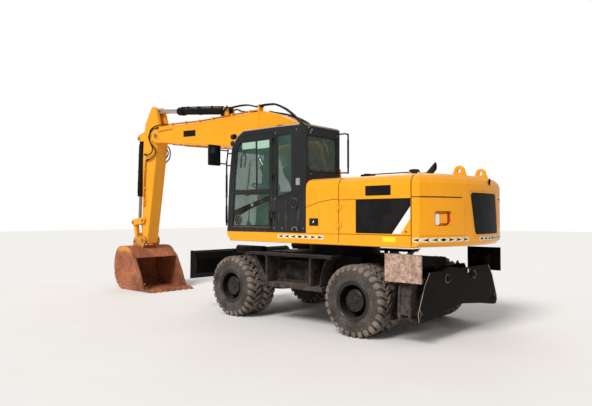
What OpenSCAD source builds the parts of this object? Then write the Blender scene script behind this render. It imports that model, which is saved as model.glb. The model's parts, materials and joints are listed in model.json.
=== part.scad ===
// Wheeled excavator: a slewing upper structure with boom, stick and bucket on a four wheel undercarriage.
// Millimetres. Forward is +X, the cab's side is +Y, the ground is Z = 0.
// Every form is laid out from the slew axis, which stands at swing_x.

/* [Overall] */
// Place of the slew axis along X, so that the whole outline is centred
swing_x = -2030; // [-2200:1:-1800]
// Half width over the outer tyres
half_w = 1275; // [1200:1:1350]

/* [Wheels] */
// Radius to the tips of the lugs
tyre_r = 516; // [480:1:560]
// Width of one tyre
tyre_w = 275; // [240:1:300]
// Gap between the twin tyres
twin_gap = 45; // [20:1:80]
// Radius of the rim's seat
rim_r = 254; // [230:1:280]
// Front axle, forward of the slew axis
front_x = 1500; // [1400:1:1600]
// Rear axle, behind the slew axis
rear_x = -1100; // [-1200:1:-1000]
// Kingpins, out from the middle
king_y = 660; // [600:1:700]
// Radius of the wheel spindles
spindle_r = 80; // [60:1:100]

/* [Undercarriage] */
// Underside of the chassis box
chassis_z0 = 640; // [500:1:700]
// Top of the chassis box
chassis_z1 = 1090; // [1000:1:1120]
// Half width of the chassis box
chassis_w = 350; // [300:1:400]
// Radius of the slew ring
ring_r = 600; // [500:1:700]

/* [Outriggers] */
// Rear face of the outrigger frame
rig_x0 = -2130; // [-2200:1:-2050]
// Front face of the outrigger frame
rig_x1 = -1700; // [-1800:1:-1650]
// Leg pivot, out from the middle
rig_pivot_y = 1150; // [1100:1:1200]
// Leg pivot above the ground
rig_pivot_z = 400; // [350:1:450]
// Pad pivot, out from the middle when stowed
rig_pad_y = 1100; // [1050:1:1150]
// Pad pivot above the ground when stowed
rig_pad_z = 1030; // [900:1:1080]

/* [Blade] */
// Lower pivots of the blade's arms
blade_pivot_x = 1850; // [1800:1:1950]
// Height of the lower pivots
blade_pivot_z = 420; // [380:1:500]
// Length of the arms
blade_arm = 600; // [500:1:700]
// Angle of the raised arms
blade_angle = 33; // [20:1:45]
// Distance between the lower and the upper pivots
blade_link_rise = 300; // [250:1:350]

/* [Upper structure] */
// Underside of the deck
deck_z0 = 1300; // [1280:1:1320]
// Top of the side sills
deck_z1 = 1462; // [1440:1:1480]
// Half width of the upper structure
body_w = 1250; // [1200:1:1275]
// Joint between side doors and counterweight
weight_x = -2040; // [-2100:1:-1980]
// Radius of the counterweight's tail
tail_r = 2500; // [2400:1:2600]
// Top of the side doors
hood_z = 2255; // [2200:1:2300]

/* [Cab] */
// Right wall of the cab
cab_y0 = 400; // [380:1:450]
// Left wall of the cab
cab_y1 = 1245; // [1200:1:1250]
// Rear wall of the cab
cab_x0 = -200; // [-250:1:-150]
// Height of the roof
cab_top = 3180; // [3100:1:3250]
// Wall thickness
cab_wall = 50; // [40:1:60]

/* [Boom] */
// Boom foot pin, forward of the slew axis
foot_x = 320; // [200:1:400]
// Boom foot pin above the ground
foot_z = 1860; // [1800:1:1900]
// Boom tip pin, forward of the slew axis
tip_x = 5400; // [5300:1:5500]
// Boom tip pin above the ground
tip_z = 3610; // [3550:1:3650]
// Half width of the boom
boom_w = 215; // [200:1:230]
// Half width of the stick
stick_w = 140; // [130:1:150]

/* [Bucket] */
// Bucket pivot, forward of the slew axis
bucket_x = 5940; // [5900:1:6000]
// Bucket pivot above the ground
bucket_z = 1150; // [1100:1:1200]
// Half width of the bucket
bucket_w = 590; // [550:1:620]

/* [Parts] */
// Part to draw

/* [Hidden] */
axle_z = tyre_r;
hub_y = half_w - tyre_w - twin_gap / 2;
wheel_y0 = half_w - 2 * tyre_w - twin_gap;
run = 0.05;
pin_r = 40;
blade_dx = blade_arm * cos(blade_angle);
blade_dz = blade_arm * sin(blade_angle);
rig_mid_x = (rig_x0 + rig_x1) / 2;
// Pins of the rams, as [X, Z] in the plane of the boom
boom_ram_base = [980, 1540];
boom_ram_eye = [2050, 3220];
stick_ram_base = [3050, 3930];
stick_ram_eye = [5660, 4240];
bucket_ram_base = [6300, 3640];
rocker_pin = [5984, 1624];
rocker_end = [6408, 1574];
bucket_ear = [6303, 1116];
blade_ram_base = [1500, 980];
blade_ram_eye = [2236, 670];
// Pins of the outrigger rams, as [Y, Z]
rig_ram_base = [360, 850];
rig_ram_eye = [1060, 720];
deck_top = 1440;
floor_z = deck_z1 + 40;
seam_z = 1958;
hood_half = [[1250, seam_z], [1250, 2150], [1235, 2215], [1190, 2262], [1100, 2290], [0, 2330]];

function angle_of(a, b) = atan2(b[1] - a[1], b[0] - a[0]);
function reach(a, b) = norm([b[0] - a[0], b[1] - a[1]]);
function along(a, b, d) = [a[0] + (b[0] - a[0]) * d / reach(a, b), a[1] + (b[1] - a[1]) * d / reach(a, b)];

module at_swing() {
  translate([swing_x, 0, 0])
    children();
}

// Outline in X and Z, drawn out from y0 to y1
module side_plate(points, y0, y1) {
  translate([0, y1, 0])
    rotate([90, 0, 0])
      linear_extrude(y1 - y0)
        polygon(points);
}

// The same outline on both sides of the middle
module twin_plate(points, y0, y1) {
  side_plate(points, y0, y1);
  side_plate(points, -y1, -y0);
}

// Outline in Y and Z, drawn out from x0 to x1
module cross_plate(points, x0, x1) {
  translate([x0, 0, 0])
    rotate([90, 0, 90])
      linear_extrude(x1 - x0)
        polygon(points);
}

// Outline in X and Y, drawn out from z0 to z1
module plan_plate(points, z0, z1) {
  translate([0, 0, z0])
    linear_extrude(z1 - z0)
      polygon(points);
}

// Box given by its low and high corners
module box(a, b) {
  translate(a)
    cube([b[0] - a[0], b[1] - a[1], b[2] - a[2]]);
}

// Round bar along Y
module pin_y(p, r, y0, y1) {
  translate([p[0], y1, p[1]])
    rotate([90, 0, 0])
      cylinder(h = y1 - y0, r = r, $fn = 48);
}

// Round bar along X, at p = [Y, Z]
module pin_x(p, r, x0, x1) {
  translate([x0, p[0], p[1]])
    rotate([0, 90, 0])
      cylinder(h = x1 - x0, r = r, $fn = 48);
}

// Round bar along Z, at p = [X, Y]
module pin_z(p, r, z0, z1) {
  translate([p[0], p[1], z0])
    cylinder(h = z1 - z0, r = r, $fn = 48);
}

// Local X runs from pin a to pin b in the X and Z plane
module along_ram(a, b, y = 0) {
  translate([a[0], y, a[1]])
    rotate([0, -angle_of(a, b), 0])
      children();
}

// Barrel of a ram from its base eye, local X forward
module barrel(length, r, bore, eye_w, eye_r, pin, neck) {
  difference() {
    union() {
      translate([neck, 0, 0])
        rotate([0, 90, 0])
          cylinder(h = length - neck, r = r, $fn = 48);
      translate([length - 90, 0, 0])
        rotate([0, 90, 0])
          cylinder(h = 90, r = r + 10, $fn = 48);
      translate([0, -eye_w / 2, -eye_r * 0.7])
        cube([neck + 10, eye_w, eye_r * 1.4]);
      rotate([90, 0, 0])
        cylinder(h = eye_w, r = eye_r, center = true, $fn = 48);
    }
    translate([neck + 30, 0, 0])
      rotate([0, 90, 0])
        cylinder(h = length, r = bore + run, $fn = 48);
    rotate([90, 0, 0])
      cylinder(h = eye_w + 2, r = pin + run, center = true, $fn = 48);
  }
}

// Rod of a ram, its eye at the origin and the rod running back along local X
module rod(length, r, eye_w, eye_r, stub) {
  translate([-length, 0, 0])
    rotate([0, 90, 0])
      cylinder(h = length - eye_r * 0.6, r = r, $fn = 48);
  rotate([90, 0, 0])
    cylinder(h = eye_w, r = eye_r, center = true, $fn = 48);
  rotate([90, 0, 0])
    cylinder(h = 2 * stub, r = eye_r * 0.55, center = true, $fn = 48);
}

// Undercarriage

module chassis() {
  at_swing() color([0.1, 0.1, 0.1]) {
    difference() {
      union() {
        plan_plate([[rig_x1, -chassis_w], [1380, -chassis_w], [1380, chassis_w], [rig_x1, chassis_w]],
          chassis_z0, chassis_z1);
        plan_plate([[-760, -560], [640, -560], [640, 560], [-760, 560]], 860, chassis_z1);
        pin_z([0, 0], ring_r, chassis_z1 - 60, 1262);
        twin_plate([[1100, 700], [1300, 560], [1390, 400], [1610, 400], [1700, 350], [1960, 350], [1960, 800],
          [1700, 860], [1600, 1090], [1100, 1090]], 180, 255);
        for (s = [-1, 1]) {
          box([1240, s > 0 ? 250 : -790, 1052], [1310, s > 0 ? 790 : -250, 1090]);
          box([1840, s > 0 ? 700 : -790, 1062], [1880, s > 0 ? 790 : -700, 1090]);
          box([1240, s > 0 ? 700 : -790, 1062], [1880, s > 0 ? 790 : -700, 1090]);
          pin_x([s * 745, 1138], 58, 1200, 1900);
        }
      }
      pin_z([0, 0], 420, 900, deck_z0);
      box([1385, -170, 300], [2000, 170, 1200]);
      pin_y([front_x, axle_z], 110.3, -600, 600);
    }
    pin_z([0, 0], 110, 880, deck_top - 10);
    for (s = [-1, 1]) {
      pin_y([blade_pivot_x, blade_pivot_z], pin_r, s > 0 ? 181 : -340, s > 0 ? 340 : -181);
      pin_y([blade_pivot_x, blade_pivot_z + blade_link_rise], pin_r, s > 0 ? 181 : -340, s > 0 ? 340 : -181);
    }
    pin_y(blade_ram_base, 35, -200, 200);
  }
}

module yoke(s) {
  for (z = [axle_z - 190, axle_z + 150])
    box([front_x - 90, s > 0 ? 470 : -750, z], [front_x + 90, s > 0 ? 750 : -470, z + 40]);
  box([front_x - 90, s > 0 ? 440 : -500, axle_z - 190], [front_x + 90, s > 0 ? 500 : -440, axle_z + 190]);
}

module front_axle() {
  at_swing() color([0.12, 0.12, 0.12])
    difference() {
      union() {
        pin_y([front_x, axle_z], 110, -470, 470);
        pin_z([front_x, 0], 175, axle_z - 145, axle_z + 100);
        yoke(1);
        yoke(-1);
        box([front_x - 300, -170, axle_z - 55], [front_x - 60, 170, axle_z + 55]);
      }
      for (s = [-1, 1])
        pin_z([front_x, s * king_y], 35 + run, axle_z - 300, axle_z + 300);
      pin_y([front_x - 240, axle_z], 30 + run, -300, 300);
    }
}

module rear_axle() {
  at_swing() color([0.12, 0.12, 0.12]) {
    pin_y([rear_x, axle_z], 110, -640, 640);
    pin_z([rear_x, 0], 185, axle_z - 145, axle_z + 100);
    pin_y([rear_x, axle_z], spindle_r, -960, 960);
    for (y = [-330, 210])
      box([rear_x - 130, y, axle_z], [rear_x + 130, y + 120, chassis_z0]);
  }
}

module side_steps() {
  at_swing() color([0.12, 0.12, 0.12])
    for (s = [-1, 1])
      mirror([0, s > 0 ? 0 : 1, 0]) {
        box([-220, 560, 660], [660, 990, 1000]);
        plan_plate([[-520, 985], [-520, body_w], [880, body_w], [880, 1150], [740, 985]], 590, 655);
        plan_plate([[-700, 1020], [-700, body_w], [1150, body_w], [1150, 1020]], 1085, 1125);
        for (x = [-300, 640])
          box([x, 985, 640], [x + 40, 1240, 1100]);
        for (x = [-180, 560]) {
          box([x, 560, 990], [x + 60, 1060, 1028]);
          box([x, 1020, 1010], [x + 60, 1060, 1095]);
        }
        side_plate([[-742, 1125], [-735, 1143], [-655, 1120], [-580, 1040], [-520, 900], [-488, 760], [-480, 655],
          [-488, 655], [-496, 758], [-528, 897], [-586, 1036], [-659, 1112]], 1020, body_w);
      }
}

module knuckle(s) {
  pin_z([front_x, s * king_y], 90, axle_z - 145, axle_z + 145);
  pin_z([front_x, s * king_y], 35, axle_z - 190, axle_z + 190);
  pin_y([front_x, axle_z], spindle_r, s > 0 ? king_y : -960, s > 0 ? 960 : -king_y);
  plan_plate([[front_x - 60, s * (king_y - 60)], [front_x - 60, s * (king_y + 30)],
    [front_x - 260, s * (king_y - 30)], [front_x - 260, s * (king_y - 100)]], axle_z + 37, axle_z + 70);
}

module knuckle_left() {
  at_swing() color([0.12, 0.12, 0.12])
    knuckle(1);
}

module knuckle_right() {
  at_swing() color([0.12, 0.12, 0.12])
    knuckle(-1);
}

module track_rod() {
  at_swing() color([0.3, 0.3, 0.3]) {
    pin_y([front_x - 240, axle_z], 30, -570, 570);
    for (s = [-1, 1])
      pin_z([front_x - 240, s * 590], 35, axle_z - 35, axle_z + 30);
  }
}

// Wheels

module tyre_pair(x, s) {
  for (k = [0, 1])
    translate([x, s * (wheel_y0 + k * (tyre_w + twin_gap)), axle_z])
      rotate([s > 0 ? -90 : 90, 0, 0])
        rotate_extrude($fn = 48)
          polygon([[rim_r + 0.3, 22], [rim_r + 110, 0], [tyre_r - 45, 12], [tyre_r, 52], [tyre_r, tyre_w - 52],
            [tyre_r - 45, tyre_w - 12], [rim_r + 110, tyre_w], [rim_r + 0.3, tyre_w - 22]]);
}

module rim_pair(x, s) {
  translate([x, 0, axle_z])
    rotate([s > 0 ? -90 : 90, 0, 0])
      rotate_extrude($fn = 96)
        polygon([[spindle_r + run, 800], [130, 800], [130, hub_y - 12], [rim_r - 22, hub_y - 12],
          [rim_r - 22, wheel_y0 + 20], [rim_r, wheel_y0 + 20], [rim_r, half_w - 20], [rim_r - 22, half_w - 20],
          [rim_r - 22, hub_y + 12], [150, hub_y + 12], [150, 1120], [110, 1180], [0, 1180],
          [0, 965], [spindle_r + run, 965]]);
}

module tyres_front_left() {
  at_swing() color([0.25, 0.22, 0.2])
    tyre_pair(front_x, 1);
}

module tyres_front_right() {
  at_swing() color([0.25, 0.22, 0.2])
    tyre_pair(front_x, -1);
}

module tyres_rear_left() {
  at_swing() color([0.25, 0.22, 0.2])
    tyre_pair(rear_x, 1);
}

module tyres_rear_right() {
  at_swing() color([0.25, 0.22, 0.2])
    tyre_pair(rear_x, -1);
}

module rim_front_left() {
  at_swing() color([0.15, 0.15, 0.15])
    rim_pair(front_x, 1);
}

module rim_front_right() {
  at_swing() color([0.15, 0.15, 0.15])
    rim_pair(front_x, -1);
}

module rim_rear_left() {
  at_swing() color([0.15, 0.15, 0.15])
    rim_pair(rear_x, 1);
}

module rim_rear_right() {
  at_swing() color([0.15, 0.15, 0.15])
    rim_pair(rear_x, -1);
}

// Outriggers

module outrigger_frame() {
  plate = [[-930, 960], [930, 960], [1060, 800], [1235, 440], [1210, 320], [1090, 320], [600, 390], [0, 450],
    [-600, 390], [-1090, 320], [-1210, 320], [-1235, 440], [-1060, 800]];
  at_swing() color([0.1, 0.1, 0.1]) {
    cross_plate(plate, rig_x0, rig_x0 + 30);
    cross_plate(plate, rig_x1 - 30, rig_x1);
    box([rig_x0 + 20, -270, 480], [rig_x1 - 20, 270, 940]);
    for (s = [-1, 1]) {
      pin_x([s * rig_ram_base[0], rig_ram_base[1]], 30, rig_x0 - 25, rig_x1);
      pin_x([s * rig_pivot_y, rig_pivot_z], 35, rig_x0 - 25, rig_x1 + 10);
    }
  }
}

module leg(s) {
  a = [rig_pivot_y, rig_pivot_z];
  b = [rig_pad_y, rig_pad_z];
  difference() {
    union() {
      for (x = [rig_mid_x - 100, rig_mid_x + 65])
        hull() {
          pin_x([s * a[0], a[1]], 75, x, x + 35);
          pin_x([s * (a[0] - 30), rig_ram_eye[1]], 90, x, x + 35);
          pin_x([s * b[0], b[1]], 45, x, x + 35);
        }
      hull() {
        pin_x([s * (a[0] + 55), a[1] + 20], 18, rig_mid_x - 100, rig_mid_x + 100);
        pin_x([s * (b[0] + 25), b[1] - 20], 18, rig_mid_x - 100, rig_mid_x + 100);
      }
    }
    pin_x([s * a[0], a[1]], 35 + run, rig_mid_x - 200, rig_mid_x + 200);
    pin_x([s * b[0], b[1]], 25 + run, rig_mid_x - 200, rig_mid_x + 200);
  }
}

module leg_left() {
  at_swing() color([0.1, 0.1, 0.1])
    leg(1);
}

module leg_right() {
  at_swing() color([0.1, 0.1, 0.1])
    leg(-1);
}

module pad(s) {
  pad_x0 = rig_mid_x - 277;
  pad_x1 = rig_mid_x + 277;
  y0 = rig_pad_y + 130;
  y1 = y0 + 30;
  box([pad_x0, s > 0 ? y0 : -y1, rig_pad_z - 187], [pad_x1, s > 0 ? y1 : -y0, rig_pad_z + 187]);
  for (x = [rig_mid_x - 140, rig_mid_x + 110])
    hull() {
      pin_x([s * rig_pad_y, rig_pad_z], 45, x, x + 30);
      pin_x([s * (y0 - 5), rig_pad_z - 40], 45, x, x + 30);
      pin_x([s * (y0 - 5), rig_pad_z + 40], 45, x, x + 30);
    }
  pin_x([s * rig_pad_y, rig_pad_z], 25, rig_mid_x - 145, rig_mid_x + 145);
}

module pad_left() {
  at_swing() color([0.45, 0.35, 0.25])
    pad(1);
}

module pad_right() {
  at_swing() color([0.1, 0.1, 0.1])
    pad(-1);
}

// Local X runs along the ram in the Y and Z plane
module along_leg(s) {
  translate([rig_mid_x, s * rig_ram_base[0], rig_ram_base[1]])
    rotate([0, 0, s * 90])
      rotate([0, -angle_of(rig_ram_base, rig_ram_eye), 0])
        children();
}

module leg_barrel(s) {
  along_leg(s)
    barrel(570, 52, 30, 90, 58, 30, 70);
}

module leg_rod(s) {
  along_leg(s)
    translate([reach(rig_ram_base, rig_ram_eye), 0, 0])
      rod(580, 30, 70, 50, 60);
}

module leg_barrel_left() {
  at_swing() color([0.12, 0.12, 0.12])
    leg_barrel(1);
}

module leg_barrel_right() {
  at_swing() color([0.12, 0.12, 0.12])
    leg_barrel(-1);
}

module leg_rod_left() {
  at_swing() color([0.7, 0.7, 0.7])
    leg_rod(1);
}

module leg_rod_right() {
  at_swing() color([0.7, 0.7, 0.7])
    leg_rod(-1);
}

// Blade

module blade_arms() {
  a = [blade_pivot_x, blade_pivot_z];
  b = [blade_pivot_x + blade_dx, blade_pivot_z + blade_dz];
  at_swing() color([0.1, 0.1, 0.1])
    difference() {
      union() {
        for (y = [262, -322])
          hull() {
            pin_y(a, 75, y, y + 60);
            pin_y(b, 65, y, y + 60);
          }
        pin_y(blade_ram_eye, 50, 60, 300);
        pin_y(blade_ram_eye, 50, -300, -60);
      }
      pin_y(a, pin_r + run, -400, 400);
      pin_y(b, 35 + run, -400, 400);
    }
}

module blade_links() {
  a = [blade_pivot_x, blade_pivot_z + blade_link_rise];
  b = [blade_pivot_x + blade_dx, blade_pivot_z + blade_dz + blade_link_rise];
  at_swing() color([0.1, 0.1, 0.1])
    difference() {
      for (y = [262, -322])
        hull() {
          pin_y(a, 60, y, y + 60);
          pin_y(b, 55, y, y + 60);
        }
      pin_y(a, pin_r + run, -400, 400);
      pin_y(b, 35 + run, -400, 400);
    }
}

module blade() {
  b = [blade_pivot_x + blade_dx, blade_pivot_z + blade_dz];
  at_swing() color([0.1, 0.1, 0.1]) {
    side_plate([[2640, 560], [2600, 575], [2500, 660], [2460, 780], [2470, 920], [2530, 1040], [2590, 1080],
      [2610, 1065], [2560, 1020], [2510, 910], [2500, 790], [2540, 680], [2650, 580]], -half_w, half_w);
    for (y = [-half_w, half_w - 20])
      side_plate([[2650, 560], [2600, 570], [2480, 660], [2450, 780], [2455, 920], [2520, 1050], [2590, 1085],
        [2640, 1080]], y, y + 20);
    for (y = [-352, -254, 234, 332])
      side_plate([[2475, 660], [b[0] - 20, b[1] - 65], [b[0] - 65, b[1] - 30], [b[0] - 65, b[1] + blade_link_rise + 20],
        [b[0] - 20, b[1] + blade_link_rise + 60], [2530, 1040], [2490, 900]], y, y + 20);
    for (z = [0, blade_link_rise]) {
      pin_y([b[0], b[1] + z], 35, -352, -234);
      pin_y([b[0], b[1] + z], 35, 234, 352);
    }
  }
}

module blade_barrel() {
  at_swing() color([0.12, 0.12, 0.12])
    along_ram(blade_ram_base, blade_ram_eye)
      barrel(680, 55, 30, 100, 60, 35, 80);
}

module blade_rod() {
  at_swing() color([0.7, 0.7, 0.7])
    along_ram(blade_ram_base, blade_ram_eye)
      translate([reach(blade_ram_base, blade_ram_eye), 0, 0])
        rod(660, 30, 100, 52, 55);
}

// Upper structure

module revolving_frame() {
  at_swing() color([0.12, 0.12, 0.12]) {
    difference() {
      union() {
        plan_plate([[weight_x, -1195], [1480, -1195], [1480, -400], [1090, -400], [1090, 400], [1600, 400],
          [1600, 1195], [weight_x, 1195]], deck_z0, deck_top);
        pin_z([0, 0], ring_r - 30, 1268, deck_z0);
        twin_plate([[20, 1430], [100, 1800], [220, 2010], [foot_x + 60, 2010], [foot_x + 140, 1880],
          [620, 1600], [760, 1430]], 235, 275);
        for (x = [cab_x0 + 60, 1500])
          for (y = [470, 1130])
            pin_z([x, y], 45, deck_top, deck_z1);
      }
      pin_z([0, 0], 110 + run, 1200, 1500);
    }
    pin_y([foot_x, foot_z], 45, -285, 285);
    twin_plate([[860, 1430], [930, 1600], [1030, 1600], [1088, 1430]], 234, 256);
    twin_plate([[860, 1430], [930, 1600], [1030, 1600], [1088, 1430]], 354, 376);
    pin_y(boom_ram_base, pin_r, 234, 376);
    pin_y(boom_ram_base, pin_r, -376, -234);
  }
}

module side_sills() {
  at_swing() color([0.95, 0.62, 0.05]) {
    side_plate([[weight_x, deck_z0], [1530, deck_z0], [1645, deck_top], [1645, deck_z1], [weight_x, deck_z1]],
      1195, body_w);
    side_plate([[weight_x, deck_z0], [1450, deck_z0], [1530, deck_top], [1530, deck_z1], [weight_x, deck_z1]],
      -body_w, -1195);
  }
}

module counterweight() {
  at_swing() color([0.95, 0.62, 0.05]) {
    difference() {
      union() {
        intersection() {
          rotate_extrude($fn = 96)
            polygon([[0, 1312], [tail_r - 50, 1312], [tail_r, 1362], [tail_r, 2160], [tail_r - 20, 2215],
              [tail_r - 65, 2262], [tail_r - 150, 2292], [tail_r - 300, 2310], [0, 2400]]);
          cover_section(1312, -tail_r - 10, weight_x);
        }
        for (s = [-1, 1])
          side_plate([[-2400, 2240], [-2340, 2390], [-2280, 2415], [-2220, 2390], [-2160, 2240]],
            s * 345 - 20, s * 345 + 20);
      }
      for (s = [-1, 1]) {
        rotate([0, 0, 180 - s * 21.4])
          box([tail_r - 70, -135, 1592], [tail_r + 50, 135, 1786]);
        pin_y([-2280, 2350], 30, s * 345 - 60, s * 345 + 60);
      }
    }
    hood_post(weight_x, -1);
  }
}

module left_cowl() {
  at_swing() color([0.95, 0.62, 0.05]) {
    difference() {
      intersection() {
        cover_section(deck_top, -845, -210);
        union() {
          box([-845, 300, deck_top], [-210, 1195, 2400]);
          box([-845, 1190, deck_z1], [-210, body_w, 2400]);
        }
      }
      box([-850, 340, deck_top - 10], [-250, 1155, 2050]);
      box([-850, 340, 2040], [-250, 1100, 2250]);
    }
    side_plate([[-845, deck_top], [-150, deck_top], [-150, 1960], [-210, 2050], [-845, 2110]], -430, 300);
    for (z = [1540, 1800])
      hinge_post([-848, 1264], z, 1);
  }
}

module left_door() {
  at_swing() color([0.95, 0.62, 0.05]) {
    box([weight_x + 6, body_w - 45, deck_z1 + 6], [-850, body_w, seam_z - 6]);
    for (z = [1540, 1800])
      hinge_leaf([-848, 1264], z, 1, -1);
  }
}

module right_cowl() {
  outline = [[-845, 1], [-845, 2340], [-760, 2340], [180, 2150], [330, 2120], [440, 1860], [1000, 1800], [1060, 1580],
    [1480, 1560], [1480, 1]];
  at_swing() color([0.95, 0.62, 0.05]) {
    intersection() {
      side_plate(outline, -body_w, -430);
      cover_section(deck_top, -845, 1480);
      union() {
        box([-845, -1195, deck_top], [1480, -430, 2400]);
        box([-845, -body_w, deck_z1], [1480, -1190, 2400]);
      }
    }
    for (z = [1540, 1800])
      hinge_post([-848, -1264], z, -1);
    hood_post(-845, 1);
  }
}

module right_door() {
  at_swing() color([0.95, 0.62, 0.05]) {
    box([weight_x + 6, -body_w, deck_z1 + 6], [-850, -body_w + 45, seam_z - 6]);
    for (z = [1540, 1800])
      hinge_leaf([-848, -1264], z, -1, -1);
  }
}

module engine_hood() {
  at_swing() color([0.95, 0.62, 0.05]) {
    difference() {
      cover_section(seam_z, weight_x + 6, -850);
      box([weight_x, -1205, 1900], [-800, 1205, 2180]);
      box([weight_x, -1060, 2170], [-800, 1060, 2248]);
      pin_z([-1255, -600], 56, 2000, 2600);
    }
    hood_leaf(weight_x + 8);
    hood_leaf(-892);
  }
}

module engine_block() {
  at_swing() color([0.3, 0.3, 0.3])
    box([-1900, -700, deck_top], [-950, 700, 2130]);
}

module exhaust() {
  tilt = [-1255, -600, 2400];
  at_swing() color([0.3, 0.2, 0.15])
    difference() {
      union() {
        pin_z([-1255, -600], 55.7, 2220, 2420);
        translate([-1255, -600, 2395])
          rotate([0, -30, 0])
            cylinder(h = 230, r = 50, $fn = 48);
      }
      translate(tilt)
        rotate([0, -30, 0])
          translate([0, 0, 60])
            cylinder(h = 260, r = 42, $fn = 48);
    }
}

// Cab

cab_side = [[cab_x0, deck_z1], [1632, deck_z1], [1582, 2353], [1518, 2873], [1455, 3000], [1365, 3103],
  [1222, cab_top], [430, cab_top - 6], [cab_x0 + 40, cab_top - 25], [cab_x0, cab_top - 60]];
cab_hollow = [[cab_x0 + 50, floor_z], [1580, floor_z], [1532, 2350], [1469, 2860], [1410, 2975], [1330, 3060],
  [1215, cab_top - 50], [430, cab_top - 56], [cab_x0 + 50, cab_top - 75]];
door_outline = [[520, 1500], [1560, 1500], [1548, 1700], [1512, 2350], [1454, 2850], [1395, 2965], [1310, 3050],
  [1225, 3085], [520, 3085]];

module cab_shell() {
  at_swing() color([0.12, 0.12, 0.13]) {
    difference() {
      side_plate(cab_side, cab_y0, cab_y1);
      side_plate(cab_hollow, cab_y0 + cab_wall, cab_y1 - cab_wall);
      side_plate(door_outline, cab_y1 - cab_wall - 5, cab_y1 + 10);
      side_plate([[100, 2110], [425, 2030], [425, 3020], [100, 3020]], cab_y1 - cab_wall - 5, cab_y1 + 10);
      side_plate([[0, 2150], [1450, 2150], [1420, 2800], [1330, 2960], [1240, 3010], [0, 3010]],
        cab_y0 - 10, cab_y0 + cab_wall + 5);
      box([cab_x0 - 10, 480, 2420], [cab_x0 + 60, 1190, 2980]);
      box([1400, 460, 2180], [1700, 1185, 2850]);
      box([1500, 460, 1560], [1700, 1185, 2110]);
    }
    for (z = [1700, 2300, 2900])
      cab_post(z);
  }
}

module cab_glass() {
  g = 0.3;
  at_swing() color([0.3, 0.45, 0.4, 0.5]) {
    side_plate([[100 + g, 2110 + g], [425 - g, 2030 + g], [425 - g, 3020 - g], [100 + g, 3020 - g]],
      cab_y1 - 22, cab_y1 - 16);
    side_plate([[g, 2150 + g], [1450 - 2 * g, 2150 + g], [1420 - 2 * g, 2800], [1330 - g, 2960 - g], [1240, 3010 - g],
      [g, 3010 - g]], cab_y0 + 16, cab_y0 + 22);
    box([cab_x0 + 16, 480 + g, 2420 + g], [cab_x0 + 22, 1190 - g, 2980 - g]);
    side_plate([[1575, 2180 + g], [1564, 2353], [1502.5, 2850 - g], [1496, 2850 - g], [1557.5, 2352], [1568, 2180 + g]],
      460 + g, 1185 - g);
    side_plate([[1609, 1560 + g], [1579, 2110 - g], [1572, 2110 - g], [1602, 1560 + g]], 460 + g, 1185 - g);
  }
}

module cab_door() {
  at_swing() color([0.12, 0.12, 0.13]) {
    difference() {
      side_plate([[526, 1506], [1554, 1506], [1542, 1700], [1506, 2350], [1448, 2848], [1390, 2961], [1306, 3045],
        [1223, 3079], [526, 3079]], cab_y1 - cab_wall + 5, cab_y1);
      side_plate([[590, 2160], [1462, 2160], [1450, 2350], [1396, 2830], [1345, 2930], [1270, 2985], [590, 2985]],
        cab_y1 - cab_wall, cab_y1 + 5);
      side_plate([[600, 1560], [1496, 1560], [1490, 1700], [1466, 2100], [600, 2100]],
        cab_y1 - cab_wall, cab_y1 + 5);
    }
    for (z = [1700, 2300, 2900])
      cab_leaf(z);
  }
}

module door_glass() {
  g = 0.3;
  at_swing() color([0.3, 0.45, 0.4, 0.5]) {
    side_plate([[590 + g, 2160 + g], [1462 - g, 2160 + g], [1450 - g, 2350], [1396 - g, 2830], [1345 - g, 2930 - g],
      [1270, 2985 - g], [590 + g, 2985 - g]], cab_y1 - 22, cab_y1 - 16);
    side_plate([[600 + g, 1560 + g], [1496 - g, 1560 + g], [1490 - g, 1700], [1466 - g, 2100 - g], [600 + g, 2100 - g]],
      cab_y1 - 22, cab_y1 - 16);
  }
}

module seat() {
  at_swing() color([0.15, 0.15, 0.16]) {
    box([180, 640, 1700], [680, 1020, 1900]);
    box([260, 700, floor_z], [600, 960, 1700]);
    side_plate([[120, 1850], [240, 1850], [160, 2560], [60, 2560]], 650, 1010);
  }
}

module cab_console() {
  at_swing() color([0.14, 0.14, 0.15]) {
    box([150, 470, floor_z], [800, 610, 2020]);
    box([150, 1050, floor_z], [560, 1180, 2020]);
    side_plate([[1180, floor_z], [1320, floor_z], [1240, 2200], [1160, 2200]], 780, 880);
  }
}

module cab_rails() {
  at_swing() color([0.1, 0.1, 0.1]) {
    pin_z([1690, 1212], 14, 1560, 2700);
    side_plate([[1681, 2660], [1699, 2660], [1660, 2900], [1640, 2900]], 1204, 1220);
    rail_foot(1600, 1690);
    rail_foot(2600, 1690);
    rail_foot(2810, 1655);
    pin_y([1652, 2870], 11, 1207, 1560);
    pin_y([1690, 2640], 11, 1213, 1560);
    box([1635, 1400, 2600], [1680, 1640, 2940]);
    for (z = [2420, 3060])
      box([-300, 380, z], [cab_x0, 400, z + 20]);
    box([-300, 280, 2420], [-280, 400, 2440]);
    box([-300, 280, 3060], [-280, 400, 3080]);
    box([-300, 280, 2420], [-280, 300, 3080]);
  }
}

// Boom, stick and bucket

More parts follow.
